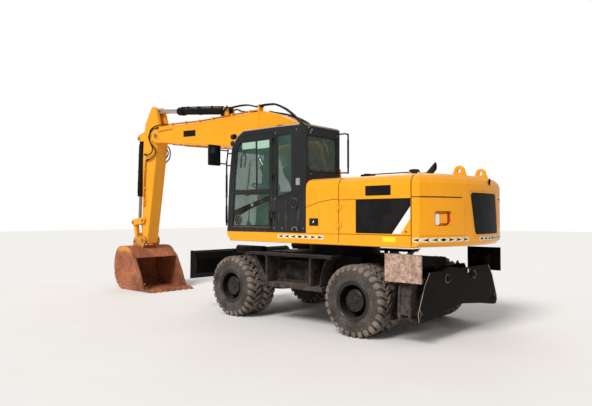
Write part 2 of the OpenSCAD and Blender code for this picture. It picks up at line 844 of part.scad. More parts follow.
module boom() {
  at_swing() color([0.95, 0.62, 0.05]) {
    difference() {
      union() {
        side_plate([[200, 1760], [150, 1900], [180, 2100], [260, 2500], [400, 2900], [600, 3180], [980, 3440],
          [1370, 3615], [1736, 3725], [2121, 3748], [2812, 3747], [3783, 3746], [5030, 3800], [5330, 3790],
          [5500, 3730], [5580, 3610], [5530, 3500], [5400, 3445], [5152, 3430], [4616, 3350], [3239, 3183],
          [2717, 3122], [2200, 3080], [1800, 3020], [1450, 2890], [1180, 2660], [960, 2330], [760, 1990],
          [500, 1720], [360, 1690], [260, 1700]], -boom_w, boom_w);
        for (s = [-1, 1])
          side_plate([[2930, 3730], [2995, 3985], [3105, 3985], [3170, 3735]], s * 80 - 20, s * 80 + 20);
        pin_y(stick_ram_base, pin_r, -100, 100);
      }
      box([4980, -stick_w - 15, 3200], [5700, stick_w + 15, 4000]);
      pin_y([foot_x, foot_z], 45 + run, -300, 300);
    }
    pin_y([tip_x, tip_z], pin_r, -boom_w - 20, boom_w + 20);
    for (s = [-1, 1])
      pin_y([tip_x, tip_z], 90, s > 0 ? stick_w + 15 : -boom_w - 12, s > 0 ? boom_w + 12 : -stick_w - 15);
  }
}

module boom_barrels() {
  at_swing() color([0.12, 0.12, 0.12])
    for (s = [-1, 1])
      along_ram(boom_ram_base, boom_ram_eye, s * 305)
        barrel(1300, 66, 40, 84, 72, pin_r, 105);
}

module boom_rods() {
  at_swing() color([0.7, 0.7, 0.7])
    for (s = [-1, 1])
      along_ram(boom_ram_base, boom_ram_eye, s * 305)
        translate([reach(boom_ram_base, boom_ram_eye), 0, 0]) {
          rod(1150, 40, 90, 78, 50);
          rotate([90, 0, 0])
            translate([0, 0, s * 42.5])
              cylinder(h = 85, r = 40, center = true, $fn = 48);
        }
}

module stick() {
  at_swing() color([0.95, 0.62, 0.05])
    difference() {
      union() {
        side_plate([[5540, 4280], [5600, 4330], [5700, 4330], [5960, 3960], [6030, 3640], [6060, 3100],
          [6060, 2100], [6070, 1560], [6035, 1180], [6010, 1080], [5940, 1050], [5870, 1080], [5830, 1180],
          [5620, 2345], [5440, 3430], [5290, 3530], [5270, 3640], [5330, 3740]], -stick_w, stick_w);
        for (s = [-1, 1])
          side_plate([[6000, 3560], [6220, 3560], [6370, 3600], [6370, 3680], [6300, 3730], [6000, 3800]],
            s * 85 - 20, s * 85 + 20);
        pin_y(bucket_ram_base, 35, -105, 105);
        pin_y(rocker_pin, 40, -205, 205);
        pin_y([bucket_x, bucket_z], 45, -225, 225);
      }
      box([5300, -70, 3860], [6100, 70, 4400]);
      pin_y([tip_x, tip_z], pin_r + run, -300, 300);
    }
}

module stick_barrel() {
  at_swing() color([0.12, 0.12, 0.12])
    along_ram(stick_ram_base, stick_ram_eye)
      barrel(1700, 80, 50, 110, 80, pin_r, 120);
}

module stick_rod() {
  at_swing() color([0.7, 0.7, 0.7])
    along_ram(stick_ram_base, stick_ram_eye)
      translate([reach(stick_ram_base, stick_ram_eye), 0, 0])
        rod(1500, 50, 120, 90, 65);
}

module rocker() {
  at_swing() color([0.95, 0.62, 0.05])
    difference() {
      for (y = [162, -192])
        hull() {
          pin_y(rocker_pin, 75, y, y + 30);
          pin_y(rocker_end, 70, y, y + 30);
        }
      pin_y(rocker_pin, 40 + run, -300, 300);
      pin_y(rocker_end, 35 + run, -300, 300);
    }
}

module power_link() {
  at_swing() color([0.95, 0.62, 0.05]) {
    for (y = [66, -150])
      hull() {
        pin_y(rocker_end, 60, y, y + 84);
        pin_y(along(rocker_end, bucket_ear, 300), 45, y, y + 84);
      }
    hull() {
      pin_y(along(rocker_end, bucket_ear, 340), 40, -150, 150);
      pin_y(bucket_ear, 50, -150, 150);
    }
    hull() {
      pin_y(along(rocker_end, bucket_ear, 300), 38, -150, 150);
      pin_y(along(rocker_end, bucket_ear, 340), 38, -150, 150);
    }
    pin_y(bucket_ear, 32, -165, 165);
    pin_y(rocker_end, 35, 66, 195);
    pin_y(rocker_end, 35, -195, -66);
  }
}

module bucket_barrel() {
  at_swing() color([0.12, 0.12, 0.12])
    along_ram(bucket_ram_base, rocker_end)
      barrel(1400, 68, 40, 110, 72, 35, 105);
}

module bucket_rod() {
  at_swing() color([0.7, 0.7, 0.7])
    along_ram(bucket_ram_base, rocker_end)
      translate([reach(bucket_ram_base, rocker_end), 0, 0])
        rod(1150, 40, 110, 66, 60);
}

module bucket() {
  outer = [[5660, 745], [5850, 930], [6020, 1010], [6330, 1010], [6480, 900], [6560, 700], [6570, 480], [6500, 250],
    [6350, 60], [6200, 8], [5300, 2], [5030, 0], [5020, 12], [5300, 60], [5440, 380]];
  inner = [[5640, 730], [5860, 905], [6010, 970], [6310, 970], [6445, 875], [6525, 690], [6530, 480], [6465, 265],
    [6330, 95], [6190, 42], [5300, 42], [5000, 20], [5000, 800]];
  at_swing() color([0.55, 0.27, 0.12])
    difference() {
      union() {
        side_plate(outer, -bucket_w, bucket_w);
        twin_plate([[5850, 1150], [5880, 1215], [5940, 1245], [6000, 1230], [6260, 1225], [6330, 1190], [6345, 1120],
          [6380, 950], [5950, 940], [5860, 1080]], 170, 215);
      }
      side_plate(inner, -bucket_w + 30, bucket_w - 30);
      pin_y([bucket_x, bucket_z], 45 + run, -300, 300);
    }
}

module hinge_post(p, z, s) {
  pin_z([p[0], p[1]], 6, z, z + 100);
  for (h = [z, z + 80]) {
    pin_z([p[0], p[1]], 11, h, h + 20);
    box([p[0], s > 0 ? p[1] - 14 : p[1] + 6, h], [p[0] + 50, s > 0 ? p[1] - 6 : p[1] + 14, h + 20]);
  }
}

module hinge_leaf(p, z, s, d) {
  difference() {
    union() {
      pin_z([p[0], p[1]], 11, z + 23, z + 77);
      box([d > 0 ? p[0] : p[0] - 50, s > 0 ? p[1] - 14 : p[1] + 6, z + 23],
        [d > 0 ? p[0] + 50 : p[0], s > 0 ? p[1] - 6 : p[1] + 14, z + 77]);
    }
    pin_z([p[0], p[1]], 6 + run, z, z + 100);
  }
}

module cover_section(z0, x0, x1) {
  cross_plate(concat([[body_w, z0]], [for (p = hood_half) if (p[1] > z0) p],
    [for (i = [len(hood_half) - 1:-1:0]) if (hood_half[i][1] > z0) [-hood_half[i][0], hood_half[i][1]]],
    [[-body_w, z0]]), x0, x1);
}

module hood_post(x, d) {
  pin_x([-1264, 1975], 7, d > 0 ? x - 55 : x, d > 0 ? x : x + 55);
  pin_x([-1264, 1975], 12, d > 0 ? x : x - 30, d > 0 ? x + 30 : x);
  box([d > 0 ? x : x - 30, -1260, 1965], [d > 0 ? x + 30 : x, -1250, 1985]);
}

module hood_leaf(x) {
  difference() {
    union() {
      pin_x([-1264, 1975], 12, x, x + 40);
      box([x, -1264, 1975], [x + 40, -1249, 2010]);
    }
    pin_x([-1264, 1975], 7 + run, x - 10, x + 50);
  }
}

module cab_post(z) {
  pin_z([510, cab_y1 + 22], 8, z, z + 100);
  for (h = [z, z + 80]) {
    pin_z([510, cab_y1 + 22], 14, h, h + 20);
    box([460, cab_y1, h], [510, cab_y1 + 18, h + 20]);
  }
}

module cab_leaf(z) {
  difference() {
    union() {
      pin_z([510, cab_y1 + 22], 14, z + 23, z + 77);
      box([510, cab_y1 + 8, z + 23], [570, cab_y1 + 18, z + 77]);
      box([540, cab_y1 - 5, z + 23], [570, cab_y1 + 18, z + 77]);
    }
    pin_z([510, cab_y1 + 22], 8 + run, z, z + 100);
  }
}

// Front face of the cab at height z
function cab_front(z) = z < 2353 ? 1632 - 50 * (z - deck_z1) / (2353 - deck_z1) : 1582 - 64 * (z - 2353) / 520;

module rail_foot(z, x) {
  side_plate([[cab_front(z), z], [x, z], [x, z + 20], [cab_front(z + 20), z + 20]], 1202, 1222);
}

module deck_rails() {
  at_swing() color([0.1, 0.1, 0.1]) {
    pin_z([480, -1200], 14, 1857.3, 2150);
    pin_z([960, -1200], 14, 1805.9, 2150);
    pin_x([-1200, 2150], 14, 466, 1400);
    pin_z([1386, -1200], 14, 1565.2, 2620);
    pin_y([1386, 2560], 12, -1560, -1200);
    box([1370, -1640, 2380], [1410, -1440, 2700]);
  }
}

chassis();
front_axle();
rear_axle();
outrigger_frame();
side_steps();
knuckle_left();
knuckle_right();
track_rod();
tyres_front_left();
rim_front_left();
tyres_front_right();
rim_front_right();
tyres_rear_left();
rim_rear_left();
tyres_rear_right();
rim_rear_right();
leg_left();
leg_right();
pad_left();
pad_right();
leg_barrel_left();
leg_barrel_right();
leg_rod_left();
leg_rod_right();
blade_arms();
blade();
blade_links();
blade_barrel();
blade_rod();
revolving_frame();
side_sills();
counterweight();
left_cowl();
left_door();
right_cowl();
right_door();
engine_hood();
engine_block();
exhaust();
cab_shell();
cab_glass();
cab_door();
door_glass();
seat();
cab_console();
cab_rails();
deck_rails();
boom();
boom_barrels();
boom_rods();
stick();
stick_barrel();
stick_rod();
bucket();
bucket_barrel();
bucket_rod();
rocker();
power_link();
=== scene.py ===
"""Wheeled excavator in travel posture: finishes, fittings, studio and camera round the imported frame.

Lengths are metres. Places are given from the slew axis, forward +X, left +Y, up +Z from the ground,
and SLEW_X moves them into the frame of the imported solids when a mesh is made.
"""
from __future__ import annotations
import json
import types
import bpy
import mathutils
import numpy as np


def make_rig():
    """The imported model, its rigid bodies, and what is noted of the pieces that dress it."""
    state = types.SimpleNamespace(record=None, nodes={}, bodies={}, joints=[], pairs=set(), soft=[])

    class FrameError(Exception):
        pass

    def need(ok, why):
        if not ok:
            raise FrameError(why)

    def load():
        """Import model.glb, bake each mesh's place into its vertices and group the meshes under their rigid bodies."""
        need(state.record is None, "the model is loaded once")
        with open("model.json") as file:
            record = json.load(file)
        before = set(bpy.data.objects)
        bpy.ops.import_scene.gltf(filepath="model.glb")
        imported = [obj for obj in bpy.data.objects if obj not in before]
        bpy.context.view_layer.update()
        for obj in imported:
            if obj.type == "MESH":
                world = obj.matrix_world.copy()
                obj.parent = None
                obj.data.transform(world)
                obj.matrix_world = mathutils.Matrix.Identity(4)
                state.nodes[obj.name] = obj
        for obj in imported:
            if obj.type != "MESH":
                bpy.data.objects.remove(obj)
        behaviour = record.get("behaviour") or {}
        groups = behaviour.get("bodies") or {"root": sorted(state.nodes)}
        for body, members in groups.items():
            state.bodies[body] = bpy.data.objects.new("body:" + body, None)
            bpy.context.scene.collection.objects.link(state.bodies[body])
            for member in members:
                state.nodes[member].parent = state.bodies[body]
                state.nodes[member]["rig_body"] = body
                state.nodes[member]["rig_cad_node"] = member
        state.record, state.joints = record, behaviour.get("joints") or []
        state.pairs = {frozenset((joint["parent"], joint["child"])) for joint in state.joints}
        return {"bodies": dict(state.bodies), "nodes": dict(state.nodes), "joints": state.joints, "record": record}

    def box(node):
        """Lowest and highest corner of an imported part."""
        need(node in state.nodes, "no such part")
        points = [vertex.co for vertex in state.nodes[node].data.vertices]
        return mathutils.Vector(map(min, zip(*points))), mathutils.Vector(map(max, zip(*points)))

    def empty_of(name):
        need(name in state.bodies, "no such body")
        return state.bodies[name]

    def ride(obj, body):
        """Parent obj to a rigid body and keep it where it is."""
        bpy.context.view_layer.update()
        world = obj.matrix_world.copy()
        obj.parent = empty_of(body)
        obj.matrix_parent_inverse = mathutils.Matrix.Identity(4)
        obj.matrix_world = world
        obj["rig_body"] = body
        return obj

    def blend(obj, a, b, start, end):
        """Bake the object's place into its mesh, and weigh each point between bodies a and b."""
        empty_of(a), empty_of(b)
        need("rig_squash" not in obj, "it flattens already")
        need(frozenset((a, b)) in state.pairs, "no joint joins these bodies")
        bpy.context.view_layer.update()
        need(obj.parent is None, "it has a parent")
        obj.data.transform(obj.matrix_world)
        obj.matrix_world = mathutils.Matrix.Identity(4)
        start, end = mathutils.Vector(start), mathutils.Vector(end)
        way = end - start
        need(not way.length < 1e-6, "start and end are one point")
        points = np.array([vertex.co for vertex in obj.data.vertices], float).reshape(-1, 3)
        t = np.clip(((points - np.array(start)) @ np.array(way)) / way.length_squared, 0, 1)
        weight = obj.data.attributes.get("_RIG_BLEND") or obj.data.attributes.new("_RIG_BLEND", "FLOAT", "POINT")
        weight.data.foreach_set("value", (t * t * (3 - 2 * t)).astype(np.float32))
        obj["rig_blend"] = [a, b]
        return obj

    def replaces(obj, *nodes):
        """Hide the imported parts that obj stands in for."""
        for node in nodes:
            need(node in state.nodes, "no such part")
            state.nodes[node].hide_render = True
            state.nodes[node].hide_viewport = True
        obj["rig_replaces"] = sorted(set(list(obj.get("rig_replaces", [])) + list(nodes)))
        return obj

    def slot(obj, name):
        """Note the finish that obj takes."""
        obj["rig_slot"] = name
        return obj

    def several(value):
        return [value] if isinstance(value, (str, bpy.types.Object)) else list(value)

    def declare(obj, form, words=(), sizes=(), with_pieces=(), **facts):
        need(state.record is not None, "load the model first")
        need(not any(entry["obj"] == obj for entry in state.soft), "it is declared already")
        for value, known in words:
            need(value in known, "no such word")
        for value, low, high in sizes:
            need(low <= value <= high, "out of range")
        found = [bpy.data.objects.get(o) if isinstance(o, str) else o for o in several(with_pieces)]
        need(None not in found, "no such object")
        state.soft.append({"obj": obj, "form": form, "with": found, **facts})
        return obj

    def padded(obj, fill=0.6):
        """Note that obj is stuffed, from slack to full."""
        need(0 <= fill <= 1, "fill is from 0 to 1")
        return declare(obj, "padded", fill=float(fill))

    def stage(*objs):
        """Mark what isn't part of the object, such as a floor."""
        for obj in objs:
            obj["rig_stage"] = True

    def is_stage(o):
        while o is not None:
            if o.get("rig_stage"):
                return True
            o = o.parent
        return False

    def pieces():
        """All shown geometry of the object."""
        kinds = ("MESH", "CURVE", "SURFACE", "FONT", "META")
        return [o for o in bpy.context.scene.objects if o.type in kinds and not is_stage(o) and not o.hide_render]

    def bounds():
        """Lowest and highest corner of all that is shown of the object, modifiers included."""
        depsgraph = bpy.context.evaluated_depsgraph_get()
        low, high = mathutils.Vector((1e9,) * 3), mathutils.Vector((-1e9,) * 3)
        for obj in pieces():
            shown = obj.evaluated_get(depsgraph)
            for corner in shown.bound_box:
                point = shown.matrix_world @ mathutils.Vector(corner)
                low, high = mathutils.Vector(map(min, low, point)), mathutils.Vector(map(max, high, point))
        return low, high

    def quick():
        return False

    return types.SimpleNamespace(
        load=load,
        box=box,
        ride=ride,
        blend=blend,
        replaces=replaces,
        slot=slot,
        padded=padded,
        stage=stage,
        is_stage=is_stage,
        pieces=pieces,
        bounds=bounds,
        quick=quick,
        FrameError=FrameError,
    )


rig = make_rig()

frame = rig.load()

import json
import logging
import math
from dataclasses import dataclass
from enum import Enum
from typing import Iterable, Sequence

import bmesh
import bpy
from mathutils import Matrix, Vector

LOG = logging.getLogger("excavator")
CAD_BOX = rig.bounds()
JOINTS = {joint["name"]: joint for joint in frame["joints"]}
SLEW_X = JOINTS["slew"]["pos_m"][0]

Point = tuple[float, float, float]
Colour = tuple[float, float, float]
Pair = tuple[float, float]

UP: Point = (0, 0, 1)
LEFT: Point = (0, 1, 0)
AHEAD: Point = (1, 0, 0)
BACK: Point = (-1, 0, 0)
OFF_PAINT = 0.0004
OFF_SEAM = 0.0003
FILM = 0.0014
CLOTH_FRAMES = 20


class Coat(Enum):
    """The finishes that a piece or a node can take, with the names of their materials."""

    YELLOW = "yellow_paint"
    BLACK = "black_paint"
    CAB = "cab_paint"
    RUBBER = "dusty_rubber"
    RIM = "rim_paint"
    CHROME = "chrome"
    STEEL = "worn_steel"
    BUCKET = "rusty_bucket"
    PAD = "rusty_plate"
    GLASS = "tinted_glass"
    HOSE = "hose_rubber"
    FABRIC = "seat_fabric"
    PLASTIC = "moulded_plastic"
    LAMP = "lamp_lens"
    RED = "red_reflector"
    MIRROR = "mirror_glass"
    LUG_HIGHLIGHT = "dusty_lug_highlight"
    SAND = "settled_sand"
    ROD = "dull_rod"
    DECAL = "black_film"
    WHITE = "white_film"
    LABEL = "cream_film"
    EXHAUST = "scorched_steel"
    ENGINE = "engine_paint"
    GAP_SHADE = "painted_gap_shade"
    SIGN = "bright_label"
    VISOR = "sun_film"
    TAG = "grey_label"
    SHADED_PIPE = "shaded_pipe_paint"
    SHADED_BLACK = "clean_black"
    PLATE = "dusty_plate"


def shift(point: Sequence[float]) -> Vector:
    """Return a place that is given from the slew axis, in the frame of the solids."""
    return Vector((point[0] + SLEW_X, point[1], point[2]))


def joint_place(name: str) -> Vector:
    """Return a joint's place, measured from the slew axis."""
    place = JOINTS[name]["pos_m"]
    return Vector((place[0] - SLEW_X, place[1], place[2]))


class Wire:
    """One value socket, on which Python's operators add Math nodes."""

    def __init__(self, bench: "Bench", socket: bpy.types.NodeSocket) -> None:
        """Keep the bench that owns the tree, and the socket."""
        self.bench = bench
        self.socket = socket

    def math(self, operation: str, *others: "Wire | float", clamp: bool = False) -> "Wire":
        """Add a Math node that starts from this value.

        Args:
            operation: the node's operation.
            others: the other inputs, wires or numbers.
            clamp: whether the result is held between 0 and 1.

        Returns:
            The node's output.
        """
        settings = {"operation": operation, "use_clamp": clamp}
        node = self.bench.node("ShaderNodeMath", settings, dict(enumerate((self,) + others)))
        return Wire(self.bench, node.outputs[0])

    def __add__(self, other: "Wire | float") -> "Wire":
        """Return the sum."""
        return self.math("ADD", other)

    def __sub__(self, other: "Wire | float") -> "Wire":
        """Return the difference."""
        return self.math("SUBTRACT", other)

    def __rsub__(self, other: float) -> "Wire":
        """Return a number less this value."""
        return self.math("MULTIPLY", -1.0).math("ADD", other)

    def __mul__(self, other: "Wire | float") -> "Wire":
        """Return the product."""
        return self.math("MULTIPLY", other)

    def clamp(self) -> "Wire":
        """Return the value held between 0 and 1."""
        return self.math("ADD", 0.0, clamp=True)

    def over(self, low: float, high: float) -> "Wire":
        """Return 0 below low, 1 above high, and a straight ramp between."""
        return ((self - low) * (1.0 / (high - low))).clamp()


class Bench:
    """A material's node tree while it is built."""

    def __init__(self, name: str) -> None:
        """Make an empty tree with its output and its shader."""
        self.material = bpy.data.materials.new(name)
        self.material.use_nodes = True
        self.tree = self.material.node_tree
        self.tree.nodes.clear()
        self.output = self.tree.nodes.new("ShaderNodeOutputMaterial")
        self.shader = self.tree.nodes.new("ShaderNodeBsdfPrincipled")
        self.tree.links.new(self.shader.outputs["BSDF"], self.output.inputs["Surface"])

    def node(self, kind: str, settings: dict | None = None, sockets: dict | None = None) -> bpy.types.Node:
        """Add a node.

        Args:
            kind: the node's type.
            settings: properties that are set before its sockets.
            sockets: what goes into its inputs, by name or number: wires, sockets or plain values.

        Returns:
            The new node.
        """
        node = self.tree.nodes.new(kind)
        for key, value in (settings or {}).items():
            setattr(node, key, value)
        for key, value in (sockets or {}).items():
            self.feed(node.inputs[key], value)
        return node

    def feed(self, socket: bpy.types.NodeSocket, value: object) -> None:
        """Link or set one input."""
        if isinstance(value, Wire):
            self.tree.links.new(value.socket, socket)
        elif isinstance(value, bpy.types.NodeSocket):
            self.tree.links.new(value, socket)
        elif isinstance(value, tuple) and len(value) == 3 and socket.type == "RGBA":
            socket.default_value = (*value, 1.0)
        else:
            socket.default_value = value

    def place(self) -> bpy.types.NodeSocket:
        """Return the point on the piece, in its own frame at rest."""
        return self.node("ShaderNodeTexCoord").outputs["Object"]

    def part_of(self, vector: bpy.types.NodeSocket, axis: str) -> Wire:
        """Return one coordinate of a vector."""
        split = self.node("ShaderNodeSeparateXYZ", None, {0: vector})
        return Wire(self, split.outputs[axis])

    def height(self) -> Wire:
        """Return the height above the ground at rest."""
        return self.part_of(self.place(), "Z")

    def facing_up(self) -> Wire:
        """Return how far the surface looks up, from -1 to 1, in the piece's own frame."""
        return self.part_of(self.node("ShaderNodeTexCoord").outputs["Normal"], "Z")

    def noise(self, scale: float, detail: float = 3.0, rough: float = 0.55,
              stretch: Point = (1.0, 1.0, 1.0)) -> Wire:
        """Return a noise value over the surface.

        Args:
            scale: waves in a metre.
            detail: octaves.
            rough: share of the finer octaves.
            stretch: scale along each axis.

        Returns:
            The noise, about 0.5 on average.
        """
        mapped = self.node("ShaderNodeVectorMath", {"operation": "MULTIPLY"}, {0: self.place(), 1: stretch})
        node = self.node("ShaderNodeTexNoise", None, {
            "Vector": mapped.outputs[0], "Scale": scale, "Detail": detail, "Roughness": rough})
        return Wire(self, node.outputs["Fac"])

    def mix(self, share: Wire | float, first: object, second: object) -> bpy.types.NodeSocket:
        """Return a colour between two others.

        Args:
            share: how much of the second colour there is.
            first: the first colour or socket.
            second: the second one.

        Returns:
            The mixed colour's socket.
        """
        node = self.node("ShaderNodeMix", {"data_type": "RGBA"}, {"Factor": share})
        self.feed(node.inputs[6], first)
        self.feed(node.inputs[7], second)
        return node.outputs[2]

    def rounded(self, radius: float) -> bpy.types.NodeSocket:
        """Return the normal as if edges were rounded by that radius."""
        return self.node("ShaderNodeBevel", {"samples": 4}, {"Radius": radius}).outputs[0]

    def bump(self, height: Wire, depth: float, normal: bpy.types.NodeSocket | None = None) -> None:
        """Feed the shader's normal from a height.

        Args:
            height: the height, from 0 to 1.
            depth: how much that is in metres.
            normal: a rounded normal to start from.
        """
        sockets = {"Height": height, "Strength": 1.0, "Distance": depth}
        if normal is not None:
            sockets["Normal"] = normal
        self.feed(self.shader.inputs["Normal"], self.node("ShaderNodeBump", None, sockets).outputs[0])

    def set(self, **values: object) -> None:
        """Set or link the shader's own inputs, with words joined by underscores."""
        for key, value in values.items():
            self.feed(self.shader.inputs[key.replace("_", " ")], value)


@dataclass(frozen=True)
class Finish:
    """What every finish has: a way to make its material."""

    def make(self, name: str) -> bpy.types.Material:
        """Build the material under that name."""
        bench = Bench(name)
        self.dress(bench)
        return bench.material

    def dress(self, bench: Bench) -> None:
        """Set the shader up. Each finish says how."""
        raise NotImplementedError


@dataclass(frozen=True)
class Paint(Finish):
    """Sprayed paint with dust on what faces up, faded patches, streaks and worn edges."""

    colour: Colour
    faded: Colour
    bare: Colour
    gloss: float = 0.32
    dust: float = 0.5
    wear: float = 0.5
    edge: float = 0.006
    grime: float = 0.3
    low_dust: float = 0.0
    dust_colour: Colour = (0.42, 0.32, 0.24)
    shine: float = 0.25
    varnish: float = 0.0
    scratches: float = 0.0
    scratched_below: float = 2.05

    def dress(self, bench: Bench) -> None:
        """Mix paint, fading, streaks, dust and edge wear."""
        broad = bench.noise(0.9, 2.0)
        fine = bench.noise(14.0, 4.0, 0.6)
        streak = bench.noise(5.0, 3.0, 0.6, (1.0, 1.0, 0.12))
        colour = bench.mix(broad.over(0.38, 0.72) * 0.6, self.colour, self.faded)
        stain = streak.over(0.56, 0.80) * self.grime
        colour = bench.mix(stain, colour, tuple(0.45 * c for c in self.colour))
        up = bench.facing_up().over(0.35, 0.95)
        dust = (up * self.dust * fine.over(0.25, 0.65)).clamp()
        low = (1.0 - bench.height().over(0.2, 1.25)) * self.low_dust * fine.over(0.3, 0.6)
        settled = (dust + low).clamp()
        colour = bench.mix(settled, colour, self.dust_colour)
        rounded = bench.rounded(self.edge)
        plain = bench.node("ShaderNodeNewGeometry").outputs["Normal"]
        bent = bench.node("ShaderNodeVectorMath", {"operation": "DOT_PRODUCT"}, {0: rounded, 1: plain})
        edge = (1.0 - Wire(bench, bent.outputs["Value"])).over(0.02, 0.12)
        chips = edge * bench.noise(22.0, 4.0, 0.7).over(0.52, 0.60) * self.wear
        colour = bench.mix(chips, colour, self.bare)
        if self.scratches:
            lines = bench.noise(42.0, 2.0, 0.5, (1.0, 1.0, 0.05)).over(0.58, 0.70) * fine.over(0.40, 0.60)
            below = 1.0 - bench.height().over(self.scratched_below - 0.1, self.scratched_below + 0.1)
            colour = bench.mix(lines * below * self.scratches, colour, self.dust_colour)
        rough = (settled * 0.45 + fine * 0.12 + (self.gloss - 0.05)).clamp()
        bench.set(Base_Color=colour, Roughness=rough, Coat_Weight=self.varnish, Coat_Roughness=0.2,
                  Specular_IOR_Level=self.shine)
        bench.bump(bench.noise(60.0, 2.0) * 0.25 + fine * 0.2, 0.0006, rounded)


@dataclass(frozen=True)
class Rubber(Finish):
    """Tyre rubber, greyed and browned by dust; the lugs' brighter copy of it is dust and painted highlight together.
    """

    colour: Colour = (0.028, 0.025, 0.023)
    dust: Colour = (0.210, 0.168, 0.134)
    share: float = 0.62

    def dress(self, bench: Bench) -> None:
        """Mix rubber and dust."""
        cloud = bench.noise(3.0, 4.0, 0.6)
        grain = bench.noise(45.0, 4.0, 0.65)
        dust = (cloud.over(0.30, 0.68) * grain.over(0.25, 0.62)) * self.share
        colour = bench.mix(dust.clamp(), self.colour, self.dust)
        bench.set(Base_Color=colour, Roughness=0.9, Specular_IOR_Level=0.25)
        bench.bump(grain * 0.6 + bench.noise(120.0, 2.0) * 0.4, 0.0016)


@dataclass(frozen=True)
class Steel(Finish):
    """Bare metal, polished or worn, with fine scratches and a film of dust."""

    colour: Colour
    gloss: float
    dirt: Colour = (0.18, 0.13, 0.1)
    dirty: float = 0.3
    metal: float = 1.0

    def dress(self, bench: Bench) -> None:
        """Mix metal, smears and dirt."""
        smear = bench.noise(7.0, 4.0, 0.6)
        scratch = bench.noise(90.0, 3.0, 0.5, (1.0, 1.0, 0.15))
        dirt = smear.over(0.45, 0.78) * self.dirty
        colour = bench.mix(dirt, self.colour, self.dirt)
        bench.set(Base_Color=colour, Metallic=((1.0 - dirt) * self.metal).clamp(),
                  Roughness=(scratch * 0.15 + dirt * 0.4 + self.gloss).clamp())
        bench.bump(scratch, 0.0002)


@dataclass(frozen=True)
class Rust(Finish):
    """Rusted plate in brown and orange, scratched where soil rubs, with old paint left in places."""

    dark: Colour
    bright: Colour
    worn: Colour
    rub: float = 0.5
    paint: Colour | None = None
    paint_from: float = 0.9
    cheek_paint_from: float = 9.0
    edge: float = 0.006
    scale: float = 2.2
    mottle: float = 0.55

    def dress(self, bench: Bench) -> None:
        """Mix rust, scratches, rubbed edges and paint."""
        cloud = bench.noise(self.scale, 5.0, 0.65)
        grain = bench.noise(30.0, 5.0, 0.7)
        colour = bench.mix(cloud.over(0.34, 0.66), self.dark, self.bright)
        colour = bench.mix(grain.over(0.48, 0.70) * self.mottle, colour, tuple(0.5 * c for c in self.dark))
        scratch = bench.noise(16.0, 3.0, 0.6, (0.5, 1.0, 2.4)).over(0.60, 0.72) * self.rub
        colour = bench.mix(scratch, colour, self.worn)
        rounded = bench.rounded(self.edge)
        if self.paint is not None:
            out = bench.part_of(bench.node("ShaderNodeTexCoord").outputs["Normal"], "Y").math("ABSOLUTE")
            cheek = out.over(0.6, 0.9) * bench.height().over(self.cheek_paint_from,
                                                             self.cheek_paint_from + 0.08)
            left = (bench.height().over(self.paint_from, self.paint_from + 0.12) + cheek).clamp()
            left = left * (grain * 0.5 + cloud * 0.5).over(0.36, 0.50)
            colour = bench.mix(left, colour, self.paint)
        bench.set(Base_Color=colour, Metallic=(scratch * 0.4).clamp(),
                  Roughness=(0.85 - scratch * 0.35).clamp())
        bench.bump(grain * 0.7 + cloud * 0.3, 0.002, rounded)


@dataclass(frozen=True)
class Glass(Finish):
    """Tinted cab glass, see-through, with a light haze of dust."""

    colour: Colour = (0.045, 0.110, 0.080)
    clear: float = 0.38

    def dress(self, bench: Bench) -> None:
        """Set tint, haze and clearness."""
        haze = bench.noise(4.0, 4.0, 0.6).over(0.45, 0.85)
        colour = bench.mix(haze * 0.2, self.colour, (0.30, 0.30, 0.27))
        bench.set(Base_Color=colour, Roughness=(haze * 0.12 + 0.03), Alpha=(haze * 0.15 + self.clear).clamp(),
                  Specular_IOR_Level=0.8)
        bench.material.surface_render_method = "BLENDED"


@dataclass(frozen=True)
class Moulded(Finish):
    """Plain moulded or printed surfaces: plastic, film, hoses, lenses."""

    colour: Colour
    rough: float = 0.5
    dust: float = 0.25
    grain: float = 40.0
    depth: float = 0.0004
    shine: float = 0.3

    def dress(self, bench: Bench) -> None:
        """Mix the colour with a little dust and grain."""
        cloud = bench.noise(6.0, 3.0)
        grain = bench.noise(self.grain, 3.0, 0.6)
        dust = (cloud.over(0.42, 0.75) * self.dust * (bench.facing_up().over(-0.4, 0.9) * 0.7 + 0.3)).clamp()
        colour = bench.mix(dust, self.colour, (0.36, 0.28, 0.21))
        bench.set(Base_Color=colour, Roughness=(dust * 0.4 + grain * 0.1 + self.rough - 0.05).clamp(),
                  Specular_IOR_Level=self.shine)
        bench.bump(grain, self.depth)


@dataclass(frozen=True)
class Weave(Finish):
    """Woven seat cloth."""

    colour: Colour
    thread: float = 420.0

    def dress(self, bench: Bench) -> None:
        """Cross two wave patterns for the weave."""
        place = bench.place()
        waves = []
        for direction in ("X", "Y"):
            node = bench.node("ShaderNodeTexWave", {"bands_direction": direction}, {
                "Vector": place, "Scale": self.thread / 6.283, "Distortion": 0.6, "Detail": 1.0})
            waves.append(Wire(bench, node.outputs["Fac"]))
        weave = waves[0] * waves[1]
        cloud = bench.noise(9.0, 3.0)
        colour = bench.mix(cloud.over(0.3, 0.7) * 0.5, self.colour, tuple(1.9 * c for c in self.colour))
        colour = bench.mix(weave * 0.35, colour, tuple(0.4 * c for c in self.colour))
        bench.set(Base_Color=colour, Roughness=0.92)
        bench.shader.inputs["Sheen Weight"].default_value = 0.3
        bench.bump(weave, 0.0008)


